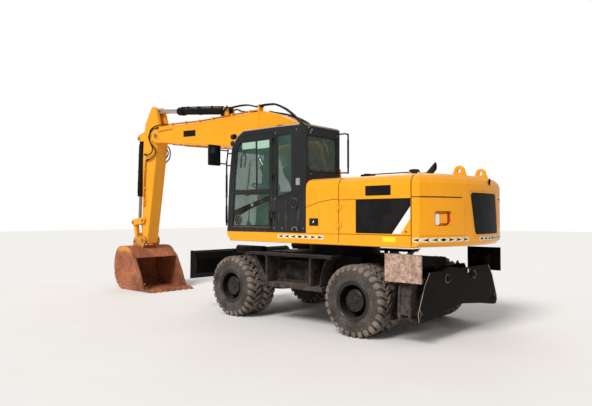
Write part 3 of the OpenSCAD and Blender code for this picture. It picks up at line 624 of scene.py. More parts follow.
YELLOW: Colour = (0.90, 0.355, 0.006)
RUSTY_EDGE: Colour = (0.10, 0.06, 0.04)
FINISHES: dict[Coat, Finish] = {
    Coat.YELLOW: Paint(
        YELLOW, faded=(0.94, 0.41, 0.018), bare=RUSTY_EDGE, gloss=0.28, dust=0.34, edge=0.010,
        grime=0.16, dust_colour=(0.62, 0.40, 0.22), varnish=0.10),
    Coat.BLACK: Paint(
        (0.0075, 0.0072, 0.0072), faded=(0.014, 0.013, 0.012), bare=(0.10, 0.075, 0.055),
        gloss=0.45, dust=0.50, wear=0.6, edge=0.005, grime=0.2, low_dust=0.32, dust_colour=(0.20, 0.15, 0.11),
        shine=0.06),
    Coat.CAB: Paint(
        (0.0125, 0.0128, 0.0140), faded=(0.022, 0.022, 0.024), bare=(0.16, 0.14, 0.12),
        gloss=0.42, dust=0.80, edge=0.008, grime=0.25, dust_colour=(0.34, 0.28, 0.23), shine=0.28,
        scratches=0.22),
    Coat.RIM: Paint(
        (0.005, 0.0048, 0.0046), faded=(0.009, 0.0082, 0.0075), bare=(0.05, 0.04, 0.032),
        gloss=0.30, dust=0.4, edge=0.004, grime=0.2, low_dust=0.14, dust_colour=(0.11, 0.088, 0.07),
        shine=0.4),
    # The pipes' paint is the machine's yellow darkened to orange: painted shade of the round pipes.
    Coat.SHADED_PIPE: Paint(
        (0.50, 0.17, 0.012), faded=(0.60, 0.24, 0.03), bare=RUSTY_EDGE, gloss=0.34, dust=0.45,
        edge=0.002, grime=0.4),
    # A near-black, almost dustless copy of the black paint for parts that stood in shade: painted shade, with pale
    # chipped edges.
    Coat.SHADED_BLACK: Paint(
        (0.0050, 0.0047, 0.0046), faded=(0.0085, 0.0078, 0.0072), bare=(0.32, 0.27, 0.23),
        gloss=0.50, dust=0.10, wear=0.75, edge=0.004, grime=0.1, low_dust=0.05,
        dust_colour=(0.12, 0.10, 0.085), shine=0.03),
    Coat.PLATE: Paint(
        (0.012, 0.0115, 0.0112), faded=(0.026, 0.024, 0.0225), bare=(0.12, 0.105, 0.09),
        gloss=0.45, dust=0.60, wear=0.8, edge=0.004, grime=0.2, low_dust=0.60, dust_colour=(0.19, 0.15, 0.12),
        shine=0.08),
    Coat.RUBBER: Rubber(),
    # The lugs' rubber is brighter than the carcass: partly dust, partly painted highlight for sun on the lug tops.
    Coat.LUG_HIGHLIGHT: Rubber((0.085, 0.068, 0.055), dust=(0.36, 0.29, 0.235), share=0.95),
    Coat.ROD: Steel((0.34, 0.33, 0.33), gloss=0.25, dirty=0.55),
    Coat.CHROME: Steel((0.62, 0.64, 0.67), gloss=0.12, dirty=0.12),
    Coat.STEEL: Steel((0.30, 0.27, 0.24), gloss=0.38, dirty=0.6),
    Coat.MIRROR: Steel((0.05, 0.055, 0.06), gloss=0.06, dirty=0.1),
    Coat.EXHAUST: Steel(
        (0.016, 0.014, 0.014), gloss=0.60, dirt=(0.06, 0.035, 0.025), dirty=0.5, metal=0.3),
    Coat.BUCKET: Rust(
        dark=(0.20, 0.058, 0.022), bright=(0.50, 0.16, 0.062), worn=(0.62, 0.42, 0.30),
        paint=(0.72, 0.30, 0.03), paint_from=1.03, cheek_paint_from=0.86),
    Coat.PAD: Rust(
        dark=(0.27, 0.145, 0.085), bright=(0.60, 0.42, 0.34), worn=(0.74, 0.62, 0.55),
        rub=0.75, scale=11.0, mottle=0.85),
    Coat.GLASS: Glass(),
    Coat.VISOR: Glass((0.36, 0.56, 0.44), clear=0.94),
    Coat.FABRIC: Weave((0.020, 0.021, 0.025)),
    Coat.SAND: Moulded(
        (0.44, 0.34, 0.28), rough=0.9, dust=0.3, grain=90.0, depth=0.001, shine=0.1),
    Coat.HOSE: Moulded((0.010, 0.0095, 0.0095), rough=0.6, shine=0.08),
    Coat.PLASTIC: Moulded((0.014, 0.0145, 0.016), rough=0.55, dust=0.2, shine=0.1),
    Coat.LAMP: Moulded((0.80, 0.78, 0.76), rough=0.15, dust=0.15),
    Coat.RED: Moulded((0.50, 0.008, 0.006), rough=0.2, dust=0.1),
    Coat.DECAL: Moulded((0.0095, 0.0090, 0.0105), rough=0.45, dust=0.05, shine=0.06),
    Coat.WHITE: Moulded((0.80, 0.79, 0.77), rough=0.35, dust=0.12),
    Coat.LABEL: Moulded((0.80, 0.70, 0.50), rough=0.4, dust=0.1),
    Coat.SIGN: Moulded((0.75, 0.72, 0.02), rough=0.4, dust=0.1),
    Coat.ENGINE: Moulded((0.06, 0.06, 0.06), dust=0.3),
    # The gap colour is the yellow paint darkened: painted shade in the panel joints and along the tail's recess.
    Coat.GAP_SHADE: Moulded((0.050, 0.018, 0.003), rough=0.9, dust=0.0),
    Coat.TAG: Moulded((0.30, 0.29, 0.28), dust=0.2),
}


class Paintshop:
    """Makes each finish once and puts it on nodes and pieces."""

    def __init__(self) -> None:
        """Start with no material made."""
        self.made: dict[Coat, bpy.types.Material] = {}

    def material(self, coat: Coat) -> bpy.types.Material:
        """Return the finish's material, made when it is first asked for."""
        if coat not in self.made:
            self.made[coat] = FINISHES[coat].make(coat.value)
        return self.made[coat]

    def coat_node(self, name: str, coat: Coat) -> None:
        """Put a finish on a node of the frame."""
        for slot in frame["nodes"][name].material_slots:
            slot.material = self.material(coat)


SHOP = Paintshop()


def join_rings(part: bmesh.types.BMesh, rings: Sequence[list], closed: bool = False) -> None:
    """Add the faces between rings of vertices.

    Args:
        part: the mesh.
        rings: rings of equally many vertices, in order.
        closed: whether the last ring joins the first; otherwise both get a cap.
    """
    following = rings[1:] + rings[:1] if closed else rings[1:]
    for a, b in zip(rings, following):
        for k in range(len(a)):
            n = (k + 1) % len(a)
            part.faces.new((a[k], a[n], b[n], b[k]))
    if not closed:
        part.faces.new(rings[0])
        part.faces.new(rings[-1])


def join_walls(part: bmesh.types.BMesh, near: list, far: list) -> None:
    """Add the faces that join the edges of two like outlines.

    Args:
        part: the mesh.
        near: vertices of the first outline.
        far: vertices of the second.
    """
    for k in range(len(near)):
        n = (k + 1) % len(near)
        part.faces.new((near[k], near[n], far[n], far[k]))


def circle(count: int, start: float = 0.0) -> list[Pair]:
    """Return sine and cosine at even steps round a circle.

    Args:
        count: how many steps there are.
        start: turn of the first one, in shares of a step.

    Returns:
        One pair for each step.
    """
    angles = [2 * math.pi * (k + start) / count for k in range(count)]
    return [(math.sin(angle), math.cos(angle)) for angle in angles]


class Form:
    """A mesh while it is built, in metres from the slew axis."""

    def __init__(self, name: str) -> None:
        """Start an empty mesh."""
        self.name = name
        self.bm = bmesh.new()

    def absorb(self, other: bmesh.types.BMesh, bevel: float, segments: int = 2, angle: float = 0.5) -> None:
        """Bevel the sharp edges of another mesh and add it to this one.

        Args:
            other: the mesh to add, which is freed.
            bevel: width of the bevel, or 0.
            segments: faces across the bevel.
            angle: least angle of an edge that is bevelled.
        """
        bmesh.ops.recalc_face_normals(other, faces=other.faces)
        if bevel > 0:
            sharp = [e for e in other.edges if len(e.link_faces) == 2 and e.calc_face_angle(0.0) > angle]
            bmesh.ops.bevel(other, geom=sharp, offset=bevel, segments=segments, affect="EDGES",
                            clamp_overlap=True)
        mesh = bpy.data.meshes.new("part")
        other.to_mesh(mesh)
        other.free()
        self.bm.from_mesh(mesh)
        bpy.data.meshes.remove(mesh)

    def block(self, low: Point, high: Point, bevel: float = 0.004, turn: Matrix | None = None) -> None:
        """Add a box with bevelled edges.

        Args:
            low: a corner.
            high: the corner opposite.
            bevel: width of the bevel.
            turn: a transform about the box's centre.
        """
        part = bmesh.new()
        size = [abs(h - l) for l, h in zip(low, high)]
        middle = Vector([(h + l) / 2 for l, h in zip(low, high)])
        bmesh.ops.create_cube(part, size=1.0)
        for vertex in part.verts:
            vertex.co = Vector([c * s for c, s in zip(vertex.co, size)])
            if turn is not None:
                vertex.co = turn @ vertex.co
            vertex.co += middle
        self.absorb(part, min(bevel, 0.45 * min(size)))

    def slab(self, outline: Sequence[Point], through: Point, bevel: float = 0.002) -> None:
        """Add a flat outline drawn out along a vector.

        Args:
            outline: the corners, in order.
            through: how far and which way the outline is drawn out.
            bevel: width of the bevel.
        """
        part = bmesh.new()
        near = [part.verts.new(p) for p in outline]
        far = [part.verts.new(Vector(p) + Vector(through)) for p in outline]
        part.faces.new(near)
        part.faces.new(far)
        join_walls(part, near, far)
        self.absorb(part, bevel)

    def lathe(self, centre: Point, axis: Point, profile: Sequence[Pair], steps: int = 32,
              bevel: float = 0.0, closed: bool = False) -> None:
        """Add a turned form.

        Args:
            centre: a point on the axis.
            axis: the axis's direction.
            profile: pairs of distance along the axis and radius, from end to end.
            steps: faces round the axis.
            bevel: width of the bevel.
            closed: whether the profile is a loop, which leaves the middle open.
        """
        part = bmesh.new()
        turn = Vector(UP).rotation_difference(Vector(axis).normalized()).to_matrix()
        rings = []
        for along, radius in profile:
            ring = []
            for sine, cosine in circle(steps):
                spot = Vector((radius * cosine, radius * sine, along))
                ring.append(part.verts.new(turn @ spot + Vector(centre)))
            rings.append(ring)
        join_rings(part, rings, closed)
        bmesh.ops.remove_doubles(part, verts=part.verts, dist=1e-6)
        self.absorb(part, bevel)

    def tube(self, points: Sequence[Point], radius: float, sides: int = 10, smooth: int = 6) -> None:
        """Add a round bar or hose along a smooth path.

        Args:
            points: places that the path passes.
            radius: the bar's radius.
            sides: faces round it.
            smooth: steps between two points; 1 keeps the corners.
        """
        path = smooth_path(points, smooth)
        part = bmesh.new()
        rings = []
        side = Vector(UP)
        for k, spot in enumerate(path):
            ahead = path[min(k + 1, len(path) - 1)] - path[max(k - 1, 0)]
            ahead.normalize()
            side = side - ahead * side.dot(ahead)
            if side.length < 1e-4:
                side = ahead.orthogonal()
            side.normalize()
            other = ahead.cross(side)
            ring = []
            for sine, cosine in circle(sides):
                ring.append(part.verts.new(spot + radius * (cosine * side + sine * other)))
            rings.append(ring)
        join_rings(part, rings)
        self.absorb(part, 0.0)

    def hoop(self, points: Sequence[Point], radius: float) -> None:
        """Add a thin round bar along a closed line that keeps its corners."""
        self.tube([*points, points[0]], radius, 8, 1)

    def bolt(self, spot: Point, axis: Point, size: float = 0.012) -> None:
        """Add a bolt's head on its washer.

        Args:
            spot: where the washer lies.
            axis: the way the bolt points.
            size: the head's radius.
        """
        self.lathe(spot, axis, [(0, size * 1.35), (size * 0.25, size * 1.35)], 16)
        self.lathe(spot, axis, [(size * 0.2, size), (size * 0.95, size), (size * 1.1, size * 0.8)], 6)

    def done(self, body: str, slot: str, coat: Coat, smooth: float = 0.7) -> bpy.types.Object:
        """Turn the mesh into a piece that rides on a body.

        Args:
            body: the body it rides on.
            slot: the record's material slot that it takes.
            coat: its finish.
            smooth: edges sharper than this angle stay sharp.

        Returns:
            The piece.
        """
        piece = self.loose(coat, smooth)
        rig.ride(piece, body)
        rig.slot(piece, slot)
        return piece

    def loose(self, coat: Coat, smooth: float = 0.7) -> bpy.types.Object:
        """Turn the mesh into a piece that rides on nothing yet."""
        mesh = bpy.data.meshes.new(self.name)
        bmesh.ops.translate(self.bm, verts=self.bm.verts, vec=(SLEW_X, 0, 0))
        self.bm.to_mesh(mesh)
        self.bm.free()
        for polygon in mesh.polygons:
            polygon.use_smooth = True
        mesh.set_sharp_from_angle(angle=smooth)
        mesh.materials.append(SHOP.material(coat))
        piece = bpy.data.objects.new(self.name, mesh)
        bpy.context.scene.collection.objects.link(piece)
        return piece


def smooth_path(points: Sequence[Point], steps: int) -> list[Vector]:
    """Return a smooth curve through points.

    Args:
        points: places that the curve passes.
        steps: how many stretches lie between two points.

    Returns:
        The curve's points.
    """
    spots = [Vector(p) for p in points]
    if steps <= 1 or len(spots) < 3:
        return spots
    path = []
    for k in range(len(spots) - 1):
        before = spots[max(k - 1, 0)]
        start, end = spots[k], spots[k + 1]
        after = spots[min(k + 2, len(spots) - 1)]
        for j in range(steps):
            t = j / steps
            square = 2 * before - 5 * start + 4 * end - after
            cube = 3 * start - before - 3 * end + after
            path.append(0.5 * (2 * start + (end - before) * t + square * t * t + cube * t ** 3))
    path.append(spots[-1])
    return path


def turned(point: Sequence[float], angle: float) -> Vector:
    """Return a point turned about the slew axis."""
    return Matrix.Rotation(angle, 3, "Z") @ Vector(point)


@dataclass
class Studio:
    """Floor, world, lamps and camera."""

    place: Point = (-5.893, 7.679, 1.714)
    angles: Point = (91.387, 0.0, -137.51)
    lens: float = 34.133
    sensor: float = 36.0
    sky: float = 0.46
    sun: float = 2.6

    def build(self) -> None:
        """Set up everything that isn't part of the machine."""
        scene = bpy.context.scene
        scene.view_settings.view_transform = "Standard"
        self.camera(scene)
        self.world(scene)
        self.floor()
        self.lamp("key_sun", (47.0, 0.0, -172.0), self.sun, 0.35)
        self.lamp("back_sun", (55.0, 0.0, 40.0), 0.35, 0.6)

    def camera(self, scene: bpy.types.Scene) -> None:
        """Stand the camera where the photograph was taken."""
        data = bpy.data.cameras.new("camera")
        data.lens = self.lens
        data.sensor_width = self.sensor
        data.clip_end = 400.0
        camera = bpy.data.objects.new("camera", data)
        camera.location = shift(self.place)
        camera.rotation_euler = [math.radians(angle) for angle in self.angles]
        scene.collection.objects.link(camera)
        scene.camera = camera

    def world(self, scene: bpy.types.Scene) -> None:
        """Light evenly from all round, and show white behind."""
        world = bpy.data.worlds.new("studio")
        world.use_nodes = True
        tree = world.node_tree
        background = tree.nodes["Background"]
        background.inputs["Color"].default_value = (1.0, 1.0, 1.0, 1.0)
        path = tree.nodes.new("ShaderNodeLightPath")
        seen = tree.nodes.new("ShaderNodeMath")
        seen.operation = "MAXIMUM"
        tree.links.new(path.outputs["Is Camera Ray"], seen.inputs[0])
        tree.links.new(path.outputs["Is Transmission Ray"], seen.inputs[1])
        strength = tree.nodes.new("ShaderNodeMapRange")
        strength.inputs["To Min"].default_value = self.sky
        strength.inputs["To Max"].default_value = 1.0
        tree.links.new(seen.outputs[0], strength.inputs["Value"])
        tree.links.new(strength.outputs[0], background.inputs["Strength"])
        scene.world = world

    def floor(self) -> None:
        """Lay a pale floor that keeps the shadow."""
        mesh = bpy.data.meshes.new("floor")
        half = 60.0
        corners = [(-half, -half, 0), (half, -half, 0), (half, half, 0), (-half, half, 0)]
        mesh.from_pydata(corners, [], [(0, 1, 2, 3)])
        floor = bpy.data.objects.new("floor", mesh)
        bpy.context.scene.collection.objects.link(floor)
        bench = Bench("floor")
        grain = bench.noise(0.8, 3.0)
        bench.set(Base_Color=bench.mix(grain, (0.80, 0.775, 0.75), (0.86, 0.84, 0.82)), Roughness=0.9)
        mesh.materials.append(bench.material)
        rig.stage(floor)

    def lamp(self, name: str, angles: Point, strength: float, spread: float) -> None:
        """Add a soft sun that shines along the turned -Z axis.

        Args:
            name: the lamp's name.
            angles: its turn in degrees.
            strength: its power.
            spread: its angular size, which softens the shadows.
        """
        data = bpy.data.lights.new(name, "SUN")
        data.energy = strength
        data.angle = spread
        lamp = bpy.data.objects.new(name, data)
        lamp.rotation_euler = [math.radians(angle) for angle in angles]
        bpy.context.scene.collection.objects.link(lamp)


@dataclass
class NodeCoats:
    """Which finish each solid of the frame takes."""

    yellow: tuple[str, ...] = ("side_sills", "counterweight", "left_cowl", "left_door", "right_cowl",
                               "right_door", "engine_hood", "boom", "stick", "rocker", "power_link")
    cab: tuple[str, ...] = ("cab_shell", "cab_door")
    glass: tuple[str, ...] = ("cab_glass", "door_glass")
    chrome: tuple[str, ...] = ("leg_rod_left", "leg_rod_right", "blade_rod", "boom_rods", "stick_rod")
    rims: tuple[str, ...] = ("rim_front_left", "rim_front_right", "rim_rear_left", "rim_rear_right")
    others: tuple[tuple[str, Coat], ...] = (
        # The right pad and leg, the outrigger frame and the blade take the near-black painted shade; the left pad and
        # leg take the dusty finishes.
        ("bucket", Coat.BUCKET), ("pad_left", Coat.PAD), ("pad_right", Coat.SHADED_BLACK),
        ("leg_left", Coat.PLATE), ("leg_right", Coat.SHADED_BLACK), ("side_steps", Coat.PLATE),
        ("outrigger_frame", Coat.SHADED_BLACK), ("blade", Coat.SHADED_BLACK), ("exhaust", Coat.EXHAUST),
        ("engine_block", Coat.ENGINE), ("bucket_rod", Coat.ROD), ("track_rod", Coat.STEEL),
        ("cab_console", Coat.PLASTIC), ("seat", Coat.PLASTIC))

    def build(self) -> None:
        """Put the finishes on."""
        coats = {name: Coat.BLACK for name in frame["nodes"]}
        for names, coat in ((self.yellow, Coat.YELLOW), (self.cab, Coat.CAB), (self.glass, Coat.GLASS),
                            (self.chrome, Coat.CHROME), (self.rims, Coat.RIM)):
            coats.update({name: coat for name in names})
        coats.update(dict(self.others))
        coats.update({name: Coat.RUBBER for name in frame["nodes"] if name.startswith("tyres")})
        for name, coat in coats.items():
            SHOP.coat_node(name, coat)
            frame["nodes"][name].data.set_sharp_from_angle(angle=0.6)
        LOG.info("finishes on %d nodes", len(coats))


@dataclass
class Wheels:
    """The twin tyres and what shows of the wheels on all four stations."""

    axle_z: float = 0.516
    front_x: float = 1.5
    rear_x: float = -1.1
    inner_y: float = 0.68
    width: float = 0.275
    gap: float = 0.045
    lugs: int = 27
    disc_y: float = 0.9895
    hub: float = 0.234
    profile: tuple[Pair, ...] = (
        (0.022, 0.2545), (0.010, 0.272), (0.004, 0.300), (0.000, 0.340), (0.001, 0.366), (0.006, 0.368),
        (0.006, 0.376), (0.002, 0.378), (0.004, 0.415), (0.010, 0.450), (0.018, 0.470), (0.034, 0.481),
        (0.080, 0.485), (0.1375, 0.486))

    def build(self) -> None:
        """Build every wheel."""
        for end, x in (("front", self.front_x), ("rear", self.rear_x)):
            for side, sign in (("left", 1), ("right", -1)):
                self.tyres(end, side, x, sign)
                self.rim(end, side, x, sign)
        LOG.info("wheels built")

    def tyres(self, end: str, side: str, x: float, sign: int) -> None:
        """Build a pair of lugged tyres in place of the plain ones.

        Args:
            end: "front" or "rear".
            side: "left" or "right".
            x: the wheel's place.
            sign: 1 on the left, -1 on the right.
        """
        form = Form(f"tyre_pair_{end}_{side}")
        lugs = Form(f"tyre_lugs_{end}_{side}")
        full = list(self.profile) + [(self.width - a, r) for a, r in reversed(self.profile[:-1])]
        for k in range(2):
            y = sign * (self.inner_y + k * (self.width + self.gap))
            form.lathe((x, y, self.axle_z), (0, sign, 0), full, 72, closed=True)
            self.tread(lugs, x, y, sign, 0.13 * k)
        piece = form.done(f"wheel_{end}_{side}", f"tyres_{end}_{side}", Coat.RUBBER, 0.6)
        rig.replaces(piece, f"tyres_{end}_{side}")
        # The lugs take the brighter rubber, partly dust and partly painted highlight.
        lugs.done(f"wheel_{end}_{side}", f"tyres_{end}_{side}", Coat.LUG_HIGHLIGHT, 0.35)

    def tread(self, form: Form, x: float, y: float, sign: int, phase: float) -> None:
        """Add the lugs of one tyre.

        Args:
            form: the mesh that takes them.
            x: the wheel's place.
            y: the tyre's inner side.
            sign: 1 on the left, -1 on the right.
            phase: turn of the first lug.
        """
        stations = ((0.131, 0.516, 0.479, 0.000, 0.034), (0.085, 0.516, 0.478, 0.050, 0.036),
                    (0.040, 0.514, 0.472, 0.104, 0.038), (0.014, 0.503, 0.460, 0.128, 0.036),
                    (0.003, 0.474, 0.446, 0.140, 0.030), (0.001, 0.442, 0.430, 0.144, 0.022))
        part = bmesh.new()
        for half in (0, 1):
            for k in range(self.lugs):
                turn = phase + 2 * math.pi * (k + 0.5 * half) / self.lugs
                rings = []
                for along, top, base, lean, half_width in stations:
                    spot = self.width - along if half else along
                    ring = []
                    for radius, offset in ((base, -1.12), (top, -0.94), (top, 0.94), (base, 1.12)):
                        angle = turn + lean + offset * half_width / radius
                        ring.append(part.verts.new((x + radius * math.sin(angle), y + sign * spot,
                                                    self.axle_z + radius * math.cos(angle))))
                    rings.append(ring)
                join_rings(part, rings)
        form.absorb(part, 0.0025, 1, 0.4)

    def rim(self, end: str, side: str, x: float, sign: int) -> None:
        """Add the flange, nuts and hub cover of an outer wheel.

        Args:
            end: "front" or "rear".
            side: "left" or "right".
            x: the wheel's place.
            sign: 1 on the left, -1 on the right.
        """
        form = Form(f"rim_fittings_{end}_{side}")
        outer = sign * (self.inner_y + 2 * self.width + self.gap)
        profile = [(0.0, 0.233), (0.0, 0.262), (0.014, 0.280), (0.024, 0.285), (0.028, 0.280),
                   (0.026, 0.270), (0.018, 0.262), (0.016, 0.233)]
        form.lathe((x, outer - sign * 0.027, self.axle_z), (0, sign, 0), profile, 72, closed=True)
        disc = sign * self.disc_y
        self.bolt_ring(form, (x, disc), sign, 0.182, 10, 0.5, 0.017)
        cover = ((0.0, 0.232), (0.010, 0.226), (0.030, 0.168), (0.200, 0.163), (0.226, 0.156),
                 (self.hub, 0.146), (self.hub, 0.060))
        form.lathe((x, disc, self.axle_z), (0, sign, 0), cover, 48)
        face = disc + sign * self.hub
        self.bolt_ring(form, (x, face), sign, 0.122, 8, 0.0, 0.011)
        profile = [(0.0, 0.062), (0.014, 0.062), (0.020, 0.052)]
        form.lathe((x, face - sign * 0.004, self.axle_z), (0, sign, 0), profile, 32)
        self.bolt_ring(form, (x, face + sign * 0.014), sign, 0.040, 4, 0.5, 0.008)
        form.done(f"wheel_{end}_{side}", f"rim_{end}_{side}", Coat.RIM)

    def bolt_ring(self, form: Form, spot: Pair, sign: int, radius: float, count: int, start: float,
                  size: float) -> None:
        """Set bolts in a ring about a wheel's axis.

        Args:
            form: the mesh that takes them.
            spot: X of the axis and Y of the face.
            sign: 1 on the left, -1 on the right.
            radius: the ring's radius.
            count: how many bolts it has.
            start: turn of the first bolt, in shares of a step.
            size: the bolts' size.
        """
        for sine, cosine in circle(count, start):
            place = (spot[0] + radius * sine, spot[1], self.axle_z + radius * cosine)
            form.bolt(place, (0, sign, 0), size)


def outline_box(x0: float, x1: float, z0: float, z1: float, radius: float = 0.0,
                steps: int = 5) -> list[Pair]:
    """Return a rectangle with rounded corners as pairs.

    Args:
        x0: low side.
        x1: high side.
        z0: bottom.
        z1: top.
        radius: radius of the corners.
        steps: stretches round a corner.

    Returns:
        The corners, in order.
    """
    if radius <= 0:
        return [(x0, z0), (x1, z0), (x1, z1), (x0, z1)]
    pairs = []
    for cx, cz, start in ((x1 - radius, z0 + radius, -90), (x1 - radius, z1 - radius, 0),
                          (x0 + radius, z1 - radius, 90), (x0 + radius, z0 + radius, 180)):
        for k in range(steps + 1):
            angle = math.radians(start + 90 * k / steps)
            pairs.append((cx + radius * math.cos(angle), cz + radius * math.sin(angle)))
    return pairs


def on_side(pairs: Iterable[Pair], y: float) -> list[Point]:
    """Place pairs of X and Z in the plane of that Y."""
    return [(x, y, z) for x, z in pairs]


def on_tail(pairs: Iterable[Pair], radius: float) -> list[Vector]:
    """Place pairs of angle from the rear, in degrees towards the left, and Z on the tail and the sides.

    Args:
        pairs: the angles and heights.
        radius: distance from the slew axis; what it has over the tail's own radius is kept on the flat sides.

    Returns:
        The places.
    """
    spots = []
    for a, z in pairs:
        angle = math.radians(a)
        reach = radius
        flat = BodyPanels.half_width + radius - BodyPanels.tail
        if abs(radius * math.sin(angle)) > flat:
            reach = flat / abs(math.sin(angle))
        spots.append(Vector((-reach * math.cos(angle), reach * math.sin(angle), z)))
    return spots


def corner_fillets(x0: float, x1: float, z0: float, z1: float, radii: Sequence[float]) -> list[list[Pair]]:
    """Return the four pieces that round the corners of a rectangular opening from inside.

    Args:
        x0: low side of the opening.
        x1: high side.
        z0: bottom.
        z1: top.
        radii: radius at the bottom right, top right, top left and bottom left.

    Returns:
        One outline for each corner.
    """
    outlines = []
    for (cx, cz, start), r in zip(((x1, z0, -90), (x1, z1, 0), (x0, z1, 90), (x0, z0, 180)), radii):
        mx = cx - r if cx == x1 else cx + r
        mz = cz + r if cz == z0 else cz - r
        arc = [math.radians(start + 90 * k / 6) for k in range(7)]
        outlines.append([(cx, cz)] + [(mx + r * math.cos(a), mz + r * math.sin(a)) for a in reversed(arc)])
    return outlines


@dataclass
class BodyPanels:
    """Films, seams, latches, lamps, sills, lifting eyes and exhaust of the upper structure."""

    half_width: float = 1.25
    tail: float = 2.5
    strip: float = 0.0012
    seam_thick: float = 0.0008
    door: tuple[float, float, float, float] = (-2.037, -0.852, 1.470, 1.952)
    dark_end: float = -1.150
    label: tuple[float, float, float, float] = (-1.733, -1.316, 2.004, 2.141)
    stripe: tuple[Pair, ...] = ((-1.752, 1.484), (-1.883, 1.484), (-2.032, 1.690), (-2.032, 1.850))

    def build(self) -> None:
        """Build every fitting of the body."""
        for sign, name in ((1, "left"), (-1, "right")):
            self.side_films(sign, name)
            self.latch(sign, name)
            self.seams(sign, name)
        self.tail_films()
        self.tail_groove_shade()
        self.lamps()
        self.sills()
        self.lift_eyes()
        self.exhaust()
        self.top_fittings()
        self.strips()

    def film_piece(self, name: str, body: str, outline: Sequence[Pair], sign: int, slot: str,
                   coat: Coat) -> None:
        """Lay a thin film on a side.

        Args:
            name: the piece's name.
            body: the body it rides on.
            outline: the film's corners, in X and Z.
            sign: 1 on the left, -1 on the right.
            slot: the material slot.
            coat: the finish.
        """
        form = Form(name)
        form.slab(on_side(outline, sign * (self.half_width + OFF_PAINT)), (0, sign * FILM, 0), 0.0)
        form.done(body, slot, coat)

    def side_films(self, sign: int, name: str) -> None:
        """Lay the dark door film with its white slanted stripe, and the labels."""
        x0, _, z0, z1 = self.door
        a, b, c, d = self.stripe
        dark = [(self.dark_end, z0 + 0.012), (self.dark_end, z1), (x0, z1), (x0, d[1] + 0.004),
                (a[0] + 0.004, z0 + 0.012)]
        door = f"{name}_door"
        self.film_piece(f"door_film_{name}", door, dark, sign, door, Coat.DECAL)
        self.film_piece(f"door_stripe_{name}", door, [a, b, c, d], sign, door, Coat.WHITE)
        label = outline_box(*self.label, 0.008)
        self.film_piece(f"hood_label_{name}", "engine_hood", label, sign, "engine_hood", Coat.DECAL)
        if sign > 0:
            tag = outline_box(-1.806, -1.597, 1.372, 1.440, 0.01)
            self.film_piece("sill_label", "upper", tag, sign, "side_sills", Coat.SIGN)

    def latch(self, sign: int, name: str) -> None:
        """Set the cowl's square latch with its key, and the door's screw."""
        form = Form(f"latches_{name}")
        x, z = -0.368, 1.632
        y = sign * self.half_width
        for across, up, corner, low, thick in ((0.088, 0.056, 0.010, 0.0005, 0.006),
                                               (0.070, 0.040, 0.008, 0.006, 0.004)):
            frame_line = outline_box(x - across, x + across, z - up, z + up, corner)
            form.slab(on_side(frame_line, y + sign * low), (0, sign * thick, 0))
        form.done("upper", f"{name}_cowl", Coat.PLASTIC)
        key = Form(f"latch_keys_{name}")
        profile = [(0, 0.017), (0.006, 0.017), (0.009, 0.012), (0.004, 0.007)]
        key.lathe((x, y + sign * 0.009, z), (0, sign, 0), profile, 20)
        key.done("upper", f"{name}_cowl", Coat.CHROME)
        door = Form(f"door_screws_{name}")
        profile = [(0, 0.013), (0.003, 0.013), (0.006, 0.008)]
        door.lathe((-1.968, y + sign * 0.001, 1.514), (0, sign, 0), profile, 14)
        door.done(f"{name}_door", f"{name}_door", Coat.PLASTIC)

    def seams(self, sign: int, name: str) -> None:
        """Draw the falling seam across the cowl and the joint between cowl and hood as fine dark lines of painted
        shade.
        """
        form = Form(f"cowl_seams_{name}")
        y = sign * (self.half_width + OFF_SEAM)
        curve = ((-0.846, 1.970), (-0.70, 1.962), (-0.60, 1.950), (-0.491, 1.932), (-0.38, 1.905),
                 (-0.29, 1.880), (-0.212, 1.855))
        if sign > 0:
            for (xa, za), (xb, zb) in zip(curve, curve[1:]):
                line = ((xa, za - 0.004), (xb, zb - 0.004), (xb, zb + 0.004), (xa, za + 0.004))
                form.slab(on_side(line, y), (0, sign * self.seam_thick, 0), 0.0)
        self.over_top(form, sign, -0.845, -0.838)
        form.done("upper", f"{name}_cowl", Coat.GAP_SHADE)
        tail = Form(f"tail_seam_{name}")
        self.over_top(tail, sign, -2.054, -2.0465)
        tail.done("upper", "counterweight", Coat.GAP_SHADE)

    def over_top(self, form: Form, sign: int, x0: float, x1: float) -> None:
        """Draw a line of painted shade up a side and on over the rounded shoulder to the top.

        Args:
            form: the mesh.
            sign: 1 on the left, -1 on the right.
            x0: the line's rear edge.
            x1: its front edge.
        """
        line = ((1.2503, 1.330), (1.2503, 2.150), (1.2353, 2.2152), (1.1903, 2.2625), (1.1001, 2.2906),
                (0.0, 2.3306))
        for (ya, za), (yb, zb) in zip(line, line[1:]):
            out = Vector((0, zb - za, ya - yb)).normalized() * self.seam_thick
            form.slab([(x0, sign * ya, za), (x1, sign * ya, za), (x1, sign * yb, zb), (x0, sign * yb, zb)],
                      (0, sign * out.y, out.z), 0.0)

    def wrap(self, form: Form, pairs: Sequence[Pair], low: float, high: float) -> None:
        """Add a film that follows the round tail.

        Args:
            form: the mesh.
            pairs: angles and heights of the film's bottom, then as many of its top.
            low: radius of its inner face.
            high: radius of its outer face.
        """
        part = bmesh.new()
        half = len(pairs) // 2
        bottom, top = pairs[:half], pairs[half:]
        rows = []
        for (a, z0), (b, z1) in zip(bottom, top):
            rows.append([part.verts.new(v) for v in (*on_tail([(a, z0)], low), *on_tail([(a, z0)], high),
                                                     *on_tail([(b, z1)], high), *on_tail([(b, z1)], low))])
        join_rings(part, rows)
        form.absorb(part, 0.0)

    def band(self, form: Form, start: float, end: float, z0: float, z1: float, low: float = OFF_PAINT,
             thick: float = FILM, steps: int = 12, lean: float = 0.0) -> None:
        """Add a film between two angles and two heights on the tail.

        Args:
            form: the mesh.
            start: first angle, at the bottom.
            end: last angle, at the bottom.
            z0: the bottom's height.
            z1: the top's height.
            low: how far its inner face stands off the paint.
            thick: its thickness.
            steps: stretches round it.
            lean: what the angles gain from bottom to top.
        """
        angles = [start + (end - start) * k / steps for k in range(steps + 1)]
        pairs = [(a, z0) for a in angles] + [(a + lean, z1) for a in angles]
        self.wrap(form, pairs, self.tail + low, self.tail + low + thick)

